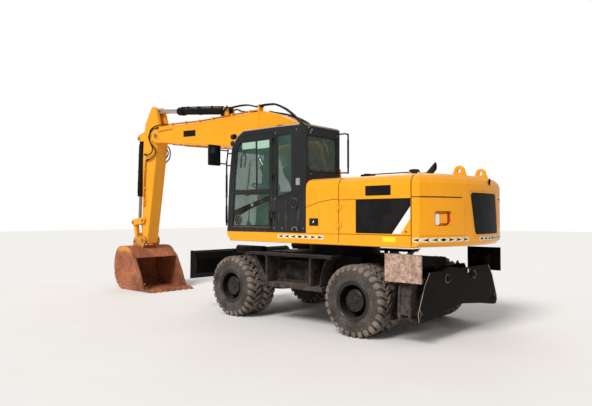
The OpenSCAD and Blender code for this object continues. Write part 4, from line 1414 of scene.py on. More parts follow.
    def tail_films(self) -> None:
        """Lay the blank dark panel at the rear, with the raised edge of its recess."""
        form = Form("rear_film")
        bottom = []
        top = []
        for k in range(25):
            share = k / 24
            near = min(share, 1 - share) * 19.0
            cut = 0.035 * (1 - math.sqrt(max(0.0, 1 - (1 - min(near, 0.9) / 0.9) ** 2)))
            bottom.append((6.9 - 18.6 * share, 1.468 + cut))
            top.append((9.2 - 18.6 * share, 2.045 - cut))
        self.wrap(form, bottom + top, self.tail + 0.0006, self.tail + 0.0022)
        form.done("upper", "counterweight", Coat.DECAL)
        rim = Form("rear_recess_edge")
        for start, end in ((7.7, 7.2), (-12.0, -12.5)):
            self.band(rim, start, end, 1.446, 2.068, 0.0, 0.004, 1, 2.4)
        self.band(rim, 7.7, -12.5, 1.438, 1.446, 0.0, 0.004)
        self.band(rim, 10.1, -10.1, 2.068, 2.077, 0.0, 0.004)
        rim.done("upper", "counterweight", Coat.YELLOW)

    def tail_groove_shade(self) -> None:
        """Carry the door's seam round the counterweight as a dark line of painted shade under the recess's upper step,
        with raised ridges below it.
        """
        form = Form("tail_groove_shade")
        for side in (1, -1):
            y = side * (self.half_width + OFF_SEAM)
            groove_shade_line = ((-2.046, 1.966), (-2.165, 1.966), (-2.165, 1.978), (-2.046, 1.978))
            form.slab(on_side(groove_shade_line, y), (0, side * self.seam_thick, 0), 0.0)
            self.band(form, side * 29.9, side * 13.6, 1.964, 1.980, 0.0002, 0.001)
        form.done("upper", "counterweight", Coat.GAP_SHADE)
        ridge = Form("tail_ridges")
        for side in (1, -1):
            self.band(ridge, side * 12.6, side * 12.1, 1.470, 1.955, 0.0, 0.004, 2)
            self.band(ridge, side * 29.9, side * 12.1, 1.462, 1.470, 0.0, 0.004)
        ridge.done("upper", "counterweight", Coat.YELLOW)

    def sills(self) -> None:
        """Round the front corners and the lower edges of the side sills, in place of the plain ones."""
        form = Form("side_sill_skins")
        left = ((-2.040, 1.300), (1.480, 1.300), (1.560, 1.322), (1.612, 1.368), (1.645, 1.440),
                (1.645, 1.462), (-2.040, 1.462))
        right = ((-2.040, 1.300), (1.400, 1.300), (1.470, 1.330), (1.530, 1.440), (1.530, 1.462),
                 (-2.040, 1.462))
        form.slab(on_side(left, 1.195), (0, 0.055, 0), 0.007)
        form.slab(on_side(right, -1.250), (0, 0.055, 0), 0.007)
        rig.replaces(form.done("upper", "side_sills", Coat.YELLOW), "side_sills")

    def lift_eyes(self) -> None:
        """Thicken the lifting eyes with round cheeks about their holes."""
        form = Form("lift_eye_cheeks")
        for y in (0.345, -0.345):
            profile = [(0.0, 0.031), (0.0, 0.072), (0.004, 0.076), (0.044, 0.076), (0.048, 0.072),
                       (0.048, 0.031)]
            form.lathe((-2.280, y - 0.024, 2.350), LEFT, profile, 40, closed=True)
        form.done("upper", "counterweight", Coat.YELLOW)

    def exhaust(self) -> None:
        """Bend the exhaust's pipe rearwards and cut its mouth upright, in place of the plain one."""
        form = Form("exhaust_pipe")
        form.lathe((-1.255, -0.600, 2.220), UP, [(0, 0.0557), (0.180, 0.0557), (0.192, 0.050)], 40)
        bend = Vector((-1.241, -0.600, 2.381))
        run = Vector((-1.0, 0.0, 1.0)).normalized()
        up = Vector((1.0, 0.0, 1.0)).normalized()
        mouth = (bend.x + 1.395) / up.x
        part = bmesh.new()
        rings = []
        for radius, reach in ((0.050, -0.035), (0.050, None), (0.042, None), (0.042, 0.070)):
            ring = []
            for sine, cosine in circle(40):
                along = mouth + radius * sine if reach is None else reach
                spot = bend + run * along + up * (radius * sine)
                ring.append(part.verts.new((spot.x, spot.y + radius * cosine, spot.z)))
            rings.append(ring)
        join_rings(part, rings)
        form.absorb(part, 0.0)
        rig.replaces(form.done("engine_hood", "exhaust", Coat.EXHAUST), "exhaust")

    def lamps(self) -> None:
        """Set a white lamp and a red reflector in each light pocket, and round its corners."""
        white = Form("tail_lamps")
        red = Form("tail_reflectors")
        paint = Form("tail_pockets")
        for side in (1, -1):
            turn = math.radians(180 - side * 21.4)
            self.in_pocket(white, turn, side, outline_box(-0.126, -0.048, 1.600, 1.752, 0.030), 2.440, 2.484)
            self.in_pocket(red, turn, side, outline_box(0.090, 0.122, 1.626, 1.744, 0.010), 2.440, 2.482)
            self.in_pocket(paint, turn, side, outline_box(-0.045, 0.088, 1.624, 1.754, 0.012), 2.440, 2.479)
            for outline in corner_fillets(-0.1345, 0.1345, 1.5925, 1.7855, (0.075, 0.030, 0.045, 0.060)):
                self.in_pocket(paint, turn, side, outline, 2.432, 2.4955)
        white.done("upper", "counterweight", Coat.LAMP)
        red.done("upper", "counterweight", Coat.RED)
        paint.done("upper", "counterweight", Coat.YELLOW)

    def in_pocket(self, form: Form, turn: float, side: int, outline: Sequence[Pair], low: float,
                  high: float) -> None:
        """Add an outline across a pocket, drawn out from one distance to another from the slew axis.

        Args:
            form: the mesh.
            turn: the pocket's angle.
            side: 1 on the left, -1 on the right, which mirrors the outline.
            outline: its corners, across and up.
            low: distance of its back.
            high: distance of its front.
        """
        corners = [turned((low, side * a, z), turn) for a, z in outline]
        form.slab(corners, turned((high - low, 0, 0), turn), 0.004)

    def top_fittings(self) -> None:
        """Add the hood's rail, slats and intake, the counterweight's hook and claw, and the filler caps."""
        form = Form("hood_fittings")
        form.tube([(-1.02, 0.86, 2.305), (-1.02, 0.86, 2.332), (-1.95, 0.86, 2.332),
                   (-1.95, 0.86, 2.305)], 0.008, 8, 1)
        form.block((-1.12, 0.70, 2.300), (-0.98, 0.90, 2.338), 0.006)
        form.block((-1.09, 0.74, 2.335), (-1.01, 0.86, 2.350), 0.004)
        for k in range(6):
            form.block((-1.94, 0.30 + 0.07 * k, 2.318), (-1.62, 0.34 + 0.07 * k, 2.330), 0.003)
        form.done("engine_hood", "engine_hood", Coat.BLACK)
        box = Form("intake_box")
        profile = [(0, 0.052), (0.045, 0.040), (0.050, 0.066), (0.078, 0.072), (0.088, 0.060),
                   (0.092, 0.020)]
        box.lathe((-1.795, 0.740, 2.290), UP, profile, 28, 0.002)
        box.done("engine_hood", "engine_hood", Coat.EXHAUST)
        hook = Form("tail_hook")
        hook.slab([(-2.340, -0.16, 2.150), (-2.478, -0.16, 2.160), (-2.486, -0.16, 2.225),
                   (-2.420, -0.16, 2.262), (-2.340, -0.16, 2.280)], (0, 0.09, 0), 0.008)
        hook.done("upper", "counterweight", Coat.YELLOW)
        claw = Form("tail_claw")
        claw.slab([(-2.480, -0.160, 2.150), (-2.500, -0.160, 2.160), (-2.512, -0.160, 2.220),
                   (-2.506, -0.160, 2.262), (-2.492, -0.160, 2.260), (-2.488, -0.160, 2.215)],
                  (0, 0.030, 0), 0.004)
        claw.done("upper", "counterweight", Coat.BLACK)
        cap = Form("filler_caps")
        for x, y, z in ((0.55, -0.80, 1.853), (0.20, -0.80, 2.146)):
            profile = [(0, 0.060), (0.020, 0.060), (0.032, 0.052), (0.032, 0.030), (0.044, 0.026)]
            cap.lathe((x, y, z), UP, profile, 28, 0.002)
        cap.done("upper", "right_cowl", Coat.BLACK)

    def strips(self) -> None:
        """Lay the pale strips with dark arrowheads on the sills and round the tail."""
        white = Form("sill_strips")
        dark = Form("sill_arrows")
        for side in (1, -1):
            y = side * (self.half_width + OFF_PAINT)
            white.slab(on_side(scallops(0.395, -0.560, 1.404, 0.030, 7), y), (0, side * self.strip, 0), 0.0)
            for outline in arrows(0.395, -0.560, 1.404, 0.022, 7):
                dark.slab(on_side(outline, y + side * self.strip), (0, side * self.seam_thick, 0), 0.0)
        white.done("upper", "side_sills", Coat.LABEL)
        dark.done("upper", "side_sills", Coat.DECAL)
        tail_white = Form("tail_strips")
        tail_dark = Form("tail_arrows")
        for side, start, end, count in ((1, -0.105, 0.860, 7), (1, 1.117, 2.016, 7), (-1, -0.105, 0.560, 5)):
            strip = self.unroll(scallops(start, end, 1.408, 0.030, count), side)
            self.wrap_outline(tail_white, strip, OFF_PAINT, self.strip)
            for outline in arrows(start, end, 1.408, 0.022, count):
                over = max(a for a, _ in outline) + 0.001
                if over - 0.001 > 0 > min(a for a, _ in outline):
                    outline = [(a - over, z) for a, z in outline]
                self.wrap_outline(tail_dark, self.unroll(outline, side), 0.0018, 0.0008)
        tail_white.done("upper", "counterweight", Coat.LABEL)
        tail_dark.done("upper", "counterweight", Coat.DECAL)

    def unroll(self, pairs: Sequence[Pair], side: int) -> list[Pair]:
        """Turn distances along the skin from the tail's shoulder into angles.

        Args:
            pairs: distances, backwards from the shoulder and below 0 on the flat side, and heights.
            side: 1 from the left shoulder, -1 from the right one.

        Returns:
            The angles, in degrees from the rear towards the left, and the heights.
        """
        edge = math.sqrt(self.tail ** 2 - self.half_width ** 2)
        shoulder = math.degrees(math.atan2(self.half_width, edge))
        turned_pairs = []
        for along, z in pairs:
            angle = shoulder - math.degrees(along / self.tail)
            if along < 0:
                angle = math.degrees(math.atan2(self.half_width, edge + along))
            turned_pairs.append((side * angle, z))
        return turned_pairs

    def wrap_outline(self, form: Form, pairs: Sequence[Pair], low: float, thick: float) -> None:
        """Add a film of any outline on the round tail.

        Args:
            form: the mesh.
            pairs: angles and heights of its corners.
            low: how far its inner face stands off the paint.
            thick: its thickness.
        """
        part = bmesh.new()
        near = [part.verts.new(v) for v in on_tail(pairs, self.tail + low)]
        far = [part.verts.new(v) for v in on_tail(pairs, self.tail + low + thick)]
        if len(pairs) > 6:
            self.fan_strip(part, near, far)
        else:
            part.faces.new(near)
            part.faces.new(far)
            join_walls(part, near, far)
        form.absorb(part, 0.0)

    def fan_strip(self, part: bmesh.types.BMesh, near: list, far: list) -> None:
        """Close a strip whose first half runs out along the bottom and second half back along the top.

        Args:
            part: the mesh.
            near: vertices of its inner outline.
            far: vertices of its outer outline.
        """
        count = len(near)
        half = count // 2
        for face in (near, far):
            for k in range(half - 1):
                part.faces.new((face[k], face[k + 1], face[count - 2 - k], face[count - 1 - k]))
        join_walls(part, near, far)


def scallops(start: float, end: float, middle: float, half: float, count: int) -> list[Pair]:
    """Return the outline of a strip that bulges round each of its marks.

    Args:
        start: where the strip begins.
        end: where it ends.
        middle: height of its middle.
        half: half its height at a bulge.
        count: how many marks it carries.

    Returns:
        The bottom from start to end, then the top back.
    """
    steps = count * 8
    bottom = []
    for k in range(steps + 1):
        share = k / steps
        bulge = 0.78 + 0.22 * abs(math.sin(math.pi * share * count))
        bottom.append((start + (end - start) * share, half * bulge))
    low = [(a, middle - h) for a, h in bottom]
    high = [(a, middle + h) for a, h in reversed(bottom)]
    return low + high


def arrows(start: float, end: float, middle: float, half: float, count: int) -> list[list[Pair]]:
    """Return arrowheads that point outwards from a diamond in the middle of a strip.

    Args:
        start: where the strip begins.
        end: where it ends.
        middle: height of its middle.
        half: half the height of a mark.
        count: how many marks there are.

    Returns:
        One outline for each mark.
    """
    pitch = (end - start) / count
    outlines = []
    for k in range(count):
        centre = start + pitch * (k + 0.5)
        reach = 0.40 * pitch
        if k == count // 2:
            outlines.append([(centre - reach, middle), (centre, middle - half), (centre + reach, middle),
                             (centre, middle + half)])
            continue
        way = -1 if k < count // 2 else 1
        tip = centre + way * reach
        back = centre - way * 0.9 * reach
        notch = centre - way * 0.55 * reach
        outlines.append([(tip, middle), (back, middle - half), (notch, middle), (back, middle + half)])
    return outlines


@dataclass
class Cab:
    """Fittings inside and outside the cab."""

    side: float = 1.245
    rear: float = -0.2
    vent: Pair = (1.358, 1.655)

    def build(self) -> None:
        """Build the cab's fittings."""
        self.gaskets()
        self.door_bars()
        self.door_rings()
        self.door_visors()
        self.door_lock()
        self.pillar()
        self.lights()
        self.mirror()
        self.rear_side()
        self.roof_details()
        self.steering()
        self.controls()
        self.cushions()
        self.rails()

    def gaskets(self) -> None:
        """Run rubber round each window."""
        form = Form("window_gaskets")
        y = self.side
        quarter = [(0.100, 2.110), (0.425, 2.030), (0.425, 3.020), (0.100, 3.020)]
        form.hoop(on_side(quarter, y - 0.012), 0.010)
        for outline in corner_fillets(0.481, 1.189, 2.421, 2.979, (0.120, 0.050, 0.050, 0.060)):
            form.slab([(self.rear + 0.004, a, b) for a, b in outline], (0.018, 0, 0), 0.003)
        rear = outline_box(0.480, 1.190, 2.420, 2.980)
        form.hoop([(self.rear + 0.012, a, b) for a, b in rear], 0.014)
        front = [(1.576, 2.180), (1.562, 2.350), (1.502, 2.850)]
        form.hoop(on_side(front, 0.460) + on_side(reversed(front), 1.185), 0.010)
        right = [(0.0, 2.150), (1.450, 2.150), (1.420, 2.800), (1.330, 2.960), (1.240, 3.010), (0.0, 3.010)]
        form.hoop(on_side(right, 0.412), 0.010)
        form.done("upper", "cab_shell", Coat.HOSE)
        door = Form("door_gaskets")
        upper = [(0.590, 2.160), (1.462, 2.160), (1.450, 2.350), (1.396, 2.830), (1.345, 2.930),
                 (1.270, 2.985), (0.590, 2.985)]
        lower = [(0.600, 1.560), (1.496, 1.560), (1.490, 1.700), (1.466, 2.100), (0.600, 2.100)]
        for loop in (upper, lower):
            door.hoop(on_side(loop, y - 0.010), 0.009)
        door.done("cab_door", "cab_door", Coat.HOSE)

    def door_bars(self) -> None:
        """Add the door's strut, divider, grab loop and vent disc."""
        y = self.side
        strut = Form("door_strut")
        bar = ((1.485, 1.672), (1.485, 1.815), (1.200, 1.900), (0.605, 2.060), (0.605, 1.975), (1.100, 1.830))
        strut.slab(on_side(bar, y - 0.035), (0, 0.022, 0), 0.004)
        strut.done("cab_door", "cab_door", Coat.HOSE)
        bars = Form("door_bars")
        bars.block((0.893, y - 0.034, 2.158), (0.922, y - 0.013, 2.987), 0.004)
        bars.tube([(1.315, y - 0.035, 2.560), (1.330, y - 0.055, 2.640), (1.315, y - 0.055, 2.760),
                   (1.240, y - 0.055, 2.790), (1.215, y - 0.055, 2.700), (1.220, y - 0.035, 2.560)],
                  0.014, 8, 5)
        x, z = self.vent
        disc = ((0, 0.090), (0.006, 0.090), (0.008, 0.078), (0.004, 0.070), (0.004, 0.020), (0.008, 0.016))
        bars.lathe((x, y - 0.014, z), LEFT, disc, 36)
        bars.done("cab_door", "cab_door", Coat.PLASTIC)

    def door_rings(self) -> None:
        """Add the latch's ring, and the studs and rim of the vent disc."""
        y = self.side
        x, z = self.vent
        ring = Form("door_rings")
        profile = [(0, 0.030), (0.006, 0.030), (0.008, 0.024), (0.003, 0.018)]
        ring.lathe((1.007, y - 0.012, 1.915), LEFT, profile, 28)
        for sine, cosine in circle(8):
            px, pz = x + 0.046 * cosine, z + 0.046 * sine
            ring.block((px - 0.008, y - 0.010, pz - 0.008), (px + 0.008, y - 0.004, pz + 0.008), 0.002)
        rim = ((0, 0.087), (0.008, 0.087), (0.008, 0.080), (0.0, 0.080))
        ring.lathe((x, y - 0.010, z), LEFT, rim, 36, closed=True)
        ring.done("cab_door", "cab_door", Coat.STEEL)

    def door_visors(self) -> None:
        """Lay the sun films along the tops of the door's panes."""
        y = self.side
        visor = Form("door_visors")
        for x0, x1, z0, z1 in ((0.930, 1.262, 2.858, 2.972), (0.602, 0.885, 2.842, 2.972)):
            visor.slab(on_side(outline_box(x0, x1, z0, z1, 0.014), y - 0.0155), (0, 0.003, 0), 0.001)
        visor.done("cab_door", "door_glass", Coat.VISOR)

    def door_lock(self) -> None:
        """Add the door's lock and its worn lower edge."""
        y = self.side
        lock = Form("door_lock")
        lock.block((0.535, y + 0.0005, 1.560), (0.580, y + 0.030, 1.800), 0.008)
        lock.block((0.543, y + 0.025, 1.600), (0.573, y + 0.042, 1.700), 0.006)
        lock.block((0.545, y + 0.001, 1.515), (0.575, y + 0.012, 1.552), 0.004)
        lock.done("cab_door", "cab_door", Coat.PLASTIC)
        line = Form("door_edges")
        line.slab(on_side([(1.4975, 1.540), (0.586, 1.540), (0.586, 1.547), (1.4975, 1.547)], y + OFF_PAINT),
                  (0, 0.003, 0), 0.001)
        line.done("cab_door", "cab_door", Coat.STEEL)

    def pillar(self) -> None:
        """Add the trim between the door and the rear panel, and the sill of the quarter window."""
        form = Form("pillar_trim")
        y = self.side
        form.slab(on_side([(0.497, 2.02), (0.505, 2.02), (0.505, 3.085), (0.497, 3.085)], y + OFF_SEAM),
                  (0, 0.004, 0), 0.001)
        form.slab(on_side([(0.435, 2.006), (0.445, 2.016), (0.090, 2.102), (0.060, 2.098)], y + OFF_SEAM),
                  (0, 0.010, 0), 0.003)
        form.done("upper", "cab_shell", Coat.CAB)
        edge = Form("pillar_edge")
        edge.slab(on_side([(0.492, 1.52), (0.4965, 1.52), (0.4965, 2.01), (0.492, 2.01)], y + OFF_SEAM),
                  (0, 0.003, 0), 0.0)
        edge.done("upper", "cab_shell", Coat.STEEL)

    def lights(self) -> None:
        """Add the lenses and housings of the two work lamps on the front pillar."""
        case = Form("work_lamp_cases")
        lens = Form("work_lamp_lenses")
        for z in (2.990, 3.108):
            profile = [(0, 0.030), (0.012, 0.047), (0.078, 0.048), (0.082, 0.045), (0.076, 0.041)]
            case.lathe((1.478, 1.194, z), AHEAD, profile, 32)
            profile = [(0, 0.040), (0.006, 0.036), (0.010, 0.022), (0.0115, 0.008)]
            lens.lathe((1.552, 1.194, z), AHEAD, profile, 28)
        case.done("upper", "cab_shell", Coat.PLASTIC)
        lens.done("upper", "cab_shell", Coat.LAMP)

    def mirror(self) -> None:
        """Round the mirror housings and give them glass."""
        left = outline_box(1.394, 1.646, 2.594, 2.946, 0.020)
        right = ((-1.645, 2.374), (-1.435, 2.374), (-1.435, 2.706), (-1.645, 2.706))
        for name, slot, x0, x1, outline in (("left", "cab_rails", 1.632, 1.684, left),
                                            ("right", "deck_rails", 1.364, 1.416, right)):
            case = Form(f"mirror_case_{name}")
            case.slab([(x0, y, z) for y, z in outline], (x1 - x0, 0, 0), 0.010)
            case.done("upper", slot, Coat.PLASTIC)
            cy = sum(y for y, _ in outline) / len(outline)
            cz = sum(z for _, z in outline) / len(outline)
            glass = Form(f"mirror_glass_{name}")
            pane = [(x0 - 0.0015, cy + 0.84 * (y - cy), cz + 0.89 * (z - cz)) for y, z in outline]
            glass.slab(pane, (-0.003, 0, 0), 0.001)
            glass.done("upper", slot, Coat.MIRROR)

    def rear_side(self) -> None:
        """Add the cap, label, studs, bracket and bolts on the cab's side and rear."""
        y = self.side
        cap = Form("cab_side_cap")
        profile = [(0, 0.092), (0.014, 0.092), (0.020, 0.085), (0.020, 0.060), (0.012, 0.056),
                   (0.012, 0.014), (0.020, 0.010)]
        cap.lathe((0.043, y, 1.913), LEFT, profile, 40)
        cap.block((0.020, y + 0.010, 1.905), (0.066, y + 0.021, 1.921), 0.003)
        cap.done("upper", "cab_shell", Coat.CAB)
        label = Form("cab_side_label")
        tag = outline_box(-0.080, 0.004, 2.205, 2.312, 0.008)
        label.slab(on_side(tag, y + OFF_PAINT), (0, 0.0012, 0), 0.0)
        label.done("upper", "cab_shell", Coat.TAG)
        rivets = Form("cab_corner_studs")
        for yy, z in ((1.175, 3.095), (1.095, 3.065), (1.130, 3.020)):
            rivets.lathe((self.rear, yy, z), BACK, [(0, 0.014), (0.004, 0.014), (0.007, 0.008)], 12)
        rivets.done("upper", "cab_shell", Coat.TAG)
        bracket = Form("cab_side_bracket")
        bracket.tube([(0.060, y, 1.500), (0.060, y + 0.030, 1.505), (0.040, y + 0.034, 1.545),
                      (-0.030, y + 0.034, 1.545), (-0.050, y + 0.030, 1.505), (-0.050, y, 1.500)], 0.009,
                     8, 3)
        bracket.done("upper", "cab_shell", Coat.STEEL)
        bolts = Form("cab_bolts")
        for x, z in ((0.452, 2.0), (0.452, 3.06), (-0.01, 3.075), (0.30, 1.53), (-0.15, 1.53), (0.47, 1.53)):
            bolts.bolt((x, y, z), LEFT, 0.010)
        for yy, z in ((0.46, 3.03), (1.13, 3.05), (0.46, 2.37), (1.13, 2.37)):
            bolts.bolt((self.rear, yy, z), BACK, 0.010)
        bolts.done("upper", "cab_shell", Coat.STEEL)

    def roof_details(self) -> None:
        """Add the sand on the roof's edges, the hatch with its handles, and the front wiper."""
        rim = Form("roof_sand")
        for y in (1.238, 0.402):
            side = [(1.452, y, 2.996), (1.364, y, 3.096), (1.222, y, 3.172), (0.430, y, 3.166),
                    (-0.060, y, 3.150)]
            rim.tube(side, 0.011, 8, 1)
        rim.tube([(-0.060, 1.238, 3.150), (-0.140, 1.205, 3.138), (-0.172, 1.120, 3.132),
                  (-0.176, 0.480, 3.132), (-0.165, 0.410, 3.134)], 0.011, 8, 2)
        rim.done("upper", "cab_shell", Coat.SAND)
        form = Form("roof_hatch")
        form.block((0.35, 0.52, 3.172), (1.12, 1.12, 3.206), 0.020)
        form.block((0.42, 0.58, 3.200), (1.05, 1.06, 3.216), 0.010)
        for y in (0.60, 1.0):
            form.tube([(0.52, y, 3.200), (0.54, y, 3.232), (0.66, y, 3.232), (0.68, y, 3.200)], 0.008, 8, 3)
        form.done("upper", "cab_shell", Coat.CAB)
        wiper = Form("wiper")
        wiper.tube([(1.602, 0.780, 2.125), (1.628, 0.780, 2.150), (1.570, 0.760, 2.700)], 0.008, 8, 4)
        wiper.tube([(1.605, 0.760, 2.260), (1.593, 0.760, 2.460), (1.558, 0.760, 2.740)], 0.007, 8, 3)
        wiper.block((1.595, 0.730, 2.085), (1.640, 0.830, 2.150), 0.010)
        wiper.done("upper", "cab_shell", Coat.PLASTIC)

    def steering(self) -> None:
        """Add the steering wheel with its hub and spokes."""
        wheel = Form("steering_wheel")
        hub = Vector((1.200, 0.830, 2.225))
        axis = Vector((-0.4226, 0.0, 0.9063))
        rim = [(0.015 * sine, 0.165 + 0.015 * cosine) for sine, cosine in circle(12)]
        wheel.lathe(hub, axis, rim, 40, closed=True)
        wheel.lathe(hub, axis, [(-0.050, 0.034), (0.008, 0.034), (0.012, 0.028)], 24)
        wheel.tube([(1.200, 0.665, 2.225), (1.199, 0.830, 2.222), (1.200, 0.995, 2.225)], 0.010, 8, 2)
        wheel.tube([(1.350, 0.830, 2.295), (1.199, 0.830, 2.222), (1.050, 0.830, 2.155)], 0.010, 8, 2)
        wheel.done("upper", "cab_console", Coat.PLASTIC)

    def controls(self) -> None:
        """Add the levers, the pedals, and the screen with its post."""
        form = Form("cab_controls")
        for x, y in ((0.720, 0.540), (0.500, 1.115)):
            form.lathe((x, y, 2.010), UP, [(0, 0.017), (0.120, 0.017)], 16)
            profile = [(0, 0.050), (0.012, 0.048), (0.030, 0.030), (0.045, 0.034), (0.058, 0.022)]
            form.lathe((x, y, 2.015), UP, profile, 20)
            profile = [(0, 0.020), (0.030, 0.024), (0.075, 0.023), (0.105, 0.027), (0.118, 0.020)]
            form.lathe((x, y, 2.120), UP, profile, 20)
        form.block((1.180, 0.500, 2.030), (1.250, 0.700, 2.190), 0.014)
        form.block((1.200, 0.560, 1.520), (1.260, 0.640, 2.040), 0.010)
        for y in (0.700, 0.930):
            form.slab([(1.42, y, 1.530), (1.32, y, 1.530), (1.40, y, 1.640), (1.415, y, 1.635)],
                      (0, 0.060, 0), 0.003)
            form.tube([(1.395, y + 0.03, 1.62), (1.37, y + 0.03, 1.85), (1.345, y + 0.03, 1.95)], 0.010, 8, 3)
        form.tube([(1.405, 0.480, 2.20), (1.400, 0.520, 2.62), (1.330, 0.520, 2.84)], 0.014, 8, 4)
        form.block((0.060, 0.500, 2.985), (0.500, 1.150, 3.060), 0.020)
        form.done("upper", "cab_console", Coat.PLASTIC)
        screen = Form("cab_screen")
        screen.slab([(1.179, y, z) for y, z in outline_box(0.514, 0.686, 2.046, 2.176, 0.008)],
                    (-0.002, 0, 0), 0.0)
        screen.done("upper", "cab_console", Coat.DECAL)

    def cushions(self) -> None:
        """Build the seat's frame, and its cushions as sewn pads."""
        pads = (("seat_cushion", (0.190, 0.650, 1.800), (0.690, 1.010, 1.930), 0.0),
                ("seat_back", (0.120, 0.660, 1.900), (0.250, 1.000, 2.500), -8.0),
                ("seat_head_rest", (0.060, 0.740, 2.515), (0.150, 0.920, 2.640), -8.0))
        rigid = Form("seat_frame")
        rigid.block((0.200, 0.665, 1.700), (0.660, 0.995, 1.800), 0.020)
        rigid.block((0.260, 0.700, 1.502), (0.600, 0.960, 1.705), 0.030)
        rigid.tube([(0.130, 0.780, 2.430), (0.105, 0.780, 2.560)], 0.009, 8, 1)
        rigid.tube([(0.130, 0.880, 2.430), (0.105, 0.880, 2.560)], 0.009, 8, 1)
        rigid.slab([(0.180, 0.650, 1.760), (0.260, 0.650, 1.760), (0.150, 0.650, 2.500),
                    (0.075, 0.650, 2.500)], (0, 0.360, 0), 0.012)
        for y0 in (0.632, 0.972):
            rigid.block((0.260, y0, 2.020), (0.620, y0 + 0.055, 2.065), 0.014)
        base = rigid.done("upper", "seat", Coat.PLASTIC)
        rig.replaces(base, "seat")
        for name, low, high, lean in pads:
            self.pad(name, low, high, lean)

    def pad(self, name: str, low: Point, high: Point, lean: float) -> None:
        """Make one sewn cushion.

        Args:
            name: the piece's name.
            low: lowest corner of the space it may fill.
            high: highest corner.
            lean: turn about the Y axis in degrees.
        """
        shrink = 0.010
        form = Form(name)
        turn = Matrix.Rotation(math.radians(lean), 3, "Y")
        form.block(tuple(c + shrink for c in low), tuple(c - shrink for c in high), 0.030, turn)
        piece = form.loose(Coat.FABRIC, 3.2)
        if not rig.quick():
            swell(piece, 0.006, 3.5, 0.014)
        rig.ride(piece, "upper")
        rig.slot(piece, "seat")
        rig.padded(piece, 0.7)

    def rails(self) -> None:
        """Add rubber sleeves to the grab rails."""
        form = Form("rail_sleeves")
        for z0, z1 in ((1.62, 1.90), (2.05, 2.45)):
            form.tube([(1.690, 1.212, z0), (1.690, 1.212, z1)], 0.019, 12, 1)
        form.tube([(-0.290, 0.290, 2.52), (-0.290, 0.290, 2.98)], 0.017, 12, 1)
        form.done("upper", "cab_rails", Coat.HOSE)


def swell(piece: bpy.types.Object, voxel: float, pressure: float, cap: float) -> None:
    """Blow a closed pad up with the cloth solver and apply the result.

    Args:
        piece: the pad, which isn't parented yet.
        voxel: edge of the remeshed faces.
        pressure: the cloth's pressure.
        cap: how far a point may move.
    """
    scene = bpy.context.scene
    remesh = piece.modifiers.new("even", "REMESH")
    remesh.mode = "VOXEL"
    remesh.voxel_size = voxel
    apply_modifiers(piece)
    rest = [v.co.copy() for v in piece.data.vertices]
    cloth = piece.modifiers.new("pad", "CLOTH")
    cloth.settings.use_pressure = True
    cloth.settings.uniform_pressure_force = pressure
    cloth.settings.effector_weights.gravity = 0
    for number in range(1, CLOTH_FRAMES + 1):
        scene.frame_set(number)
    apply_modifiers(piece)
    scene.frame_set(1)
    for vertex, start in zip(piece.data.vertices, rest):
        step = vertex.co - start
        if step.length > cap:
            vertex.co = start + step * (cap / step.length)
    smooth = piece.modifiers.new("soft", "SUBSURF")
    smooth.levels = 1
    smooth.render_levels = 1
    apply_modifiers(piece)
    for polygon in piece.data.polygons:
        polygon.use_smooth = True


def apply_modifiers(piece: bpy.types.Object) -> None:
    """Bake a piece's modifiers into its mesh."""
    bpy.context.view_layer.update()
    graph = bpy.context.evaluated_depsgraph_get()
    mesh = bpy.data.meshes.new_from_object(piece.evaluated_get(graph))
    piece.modifiers.clear()
    piece.data = mesh


@dataclass(frozen=True)
class Route:
    """A hose or pipe: what carries it, how thick it is and where it runs."""

    name: str
    body: str
    slot: str
    radius: float
    points: tuple[Point, ...]
    other: str = ""
    start: Point = (0.0, 0.0, 0.0)
    end: Point = (0.0, 0.0, 0.0)

    def lay(self) -> None:
        """Make the hose with a fitting at each end, and tie it to one body or between two."""
        form = Form(self.name)
        form.tube(self.points, self.radius)
        fitting = ((-0.008, self.radius * 1.5), (0.030, self.radius * 1.5),
                   (0.034, self.radius * 1.3), (0.060, self.radius * 1.25))
        for spot, ahead in ((self.points[0], self.points[1]), (self.points[-1], self.points[-2])):
            form.lathe(spot, Vector(ahead) - Vector(spot), fitting, 12)
        if not self.other:
            form.done(self.body, self.slot, Coat.HOSE)
            return
        piece = form.loose(Coat.HOSE)
        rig.blend(piece, self.body, self.other, tuple(shift(self.start)), tuple(shift(self.end)))
        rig.slot(piece, self.slot)


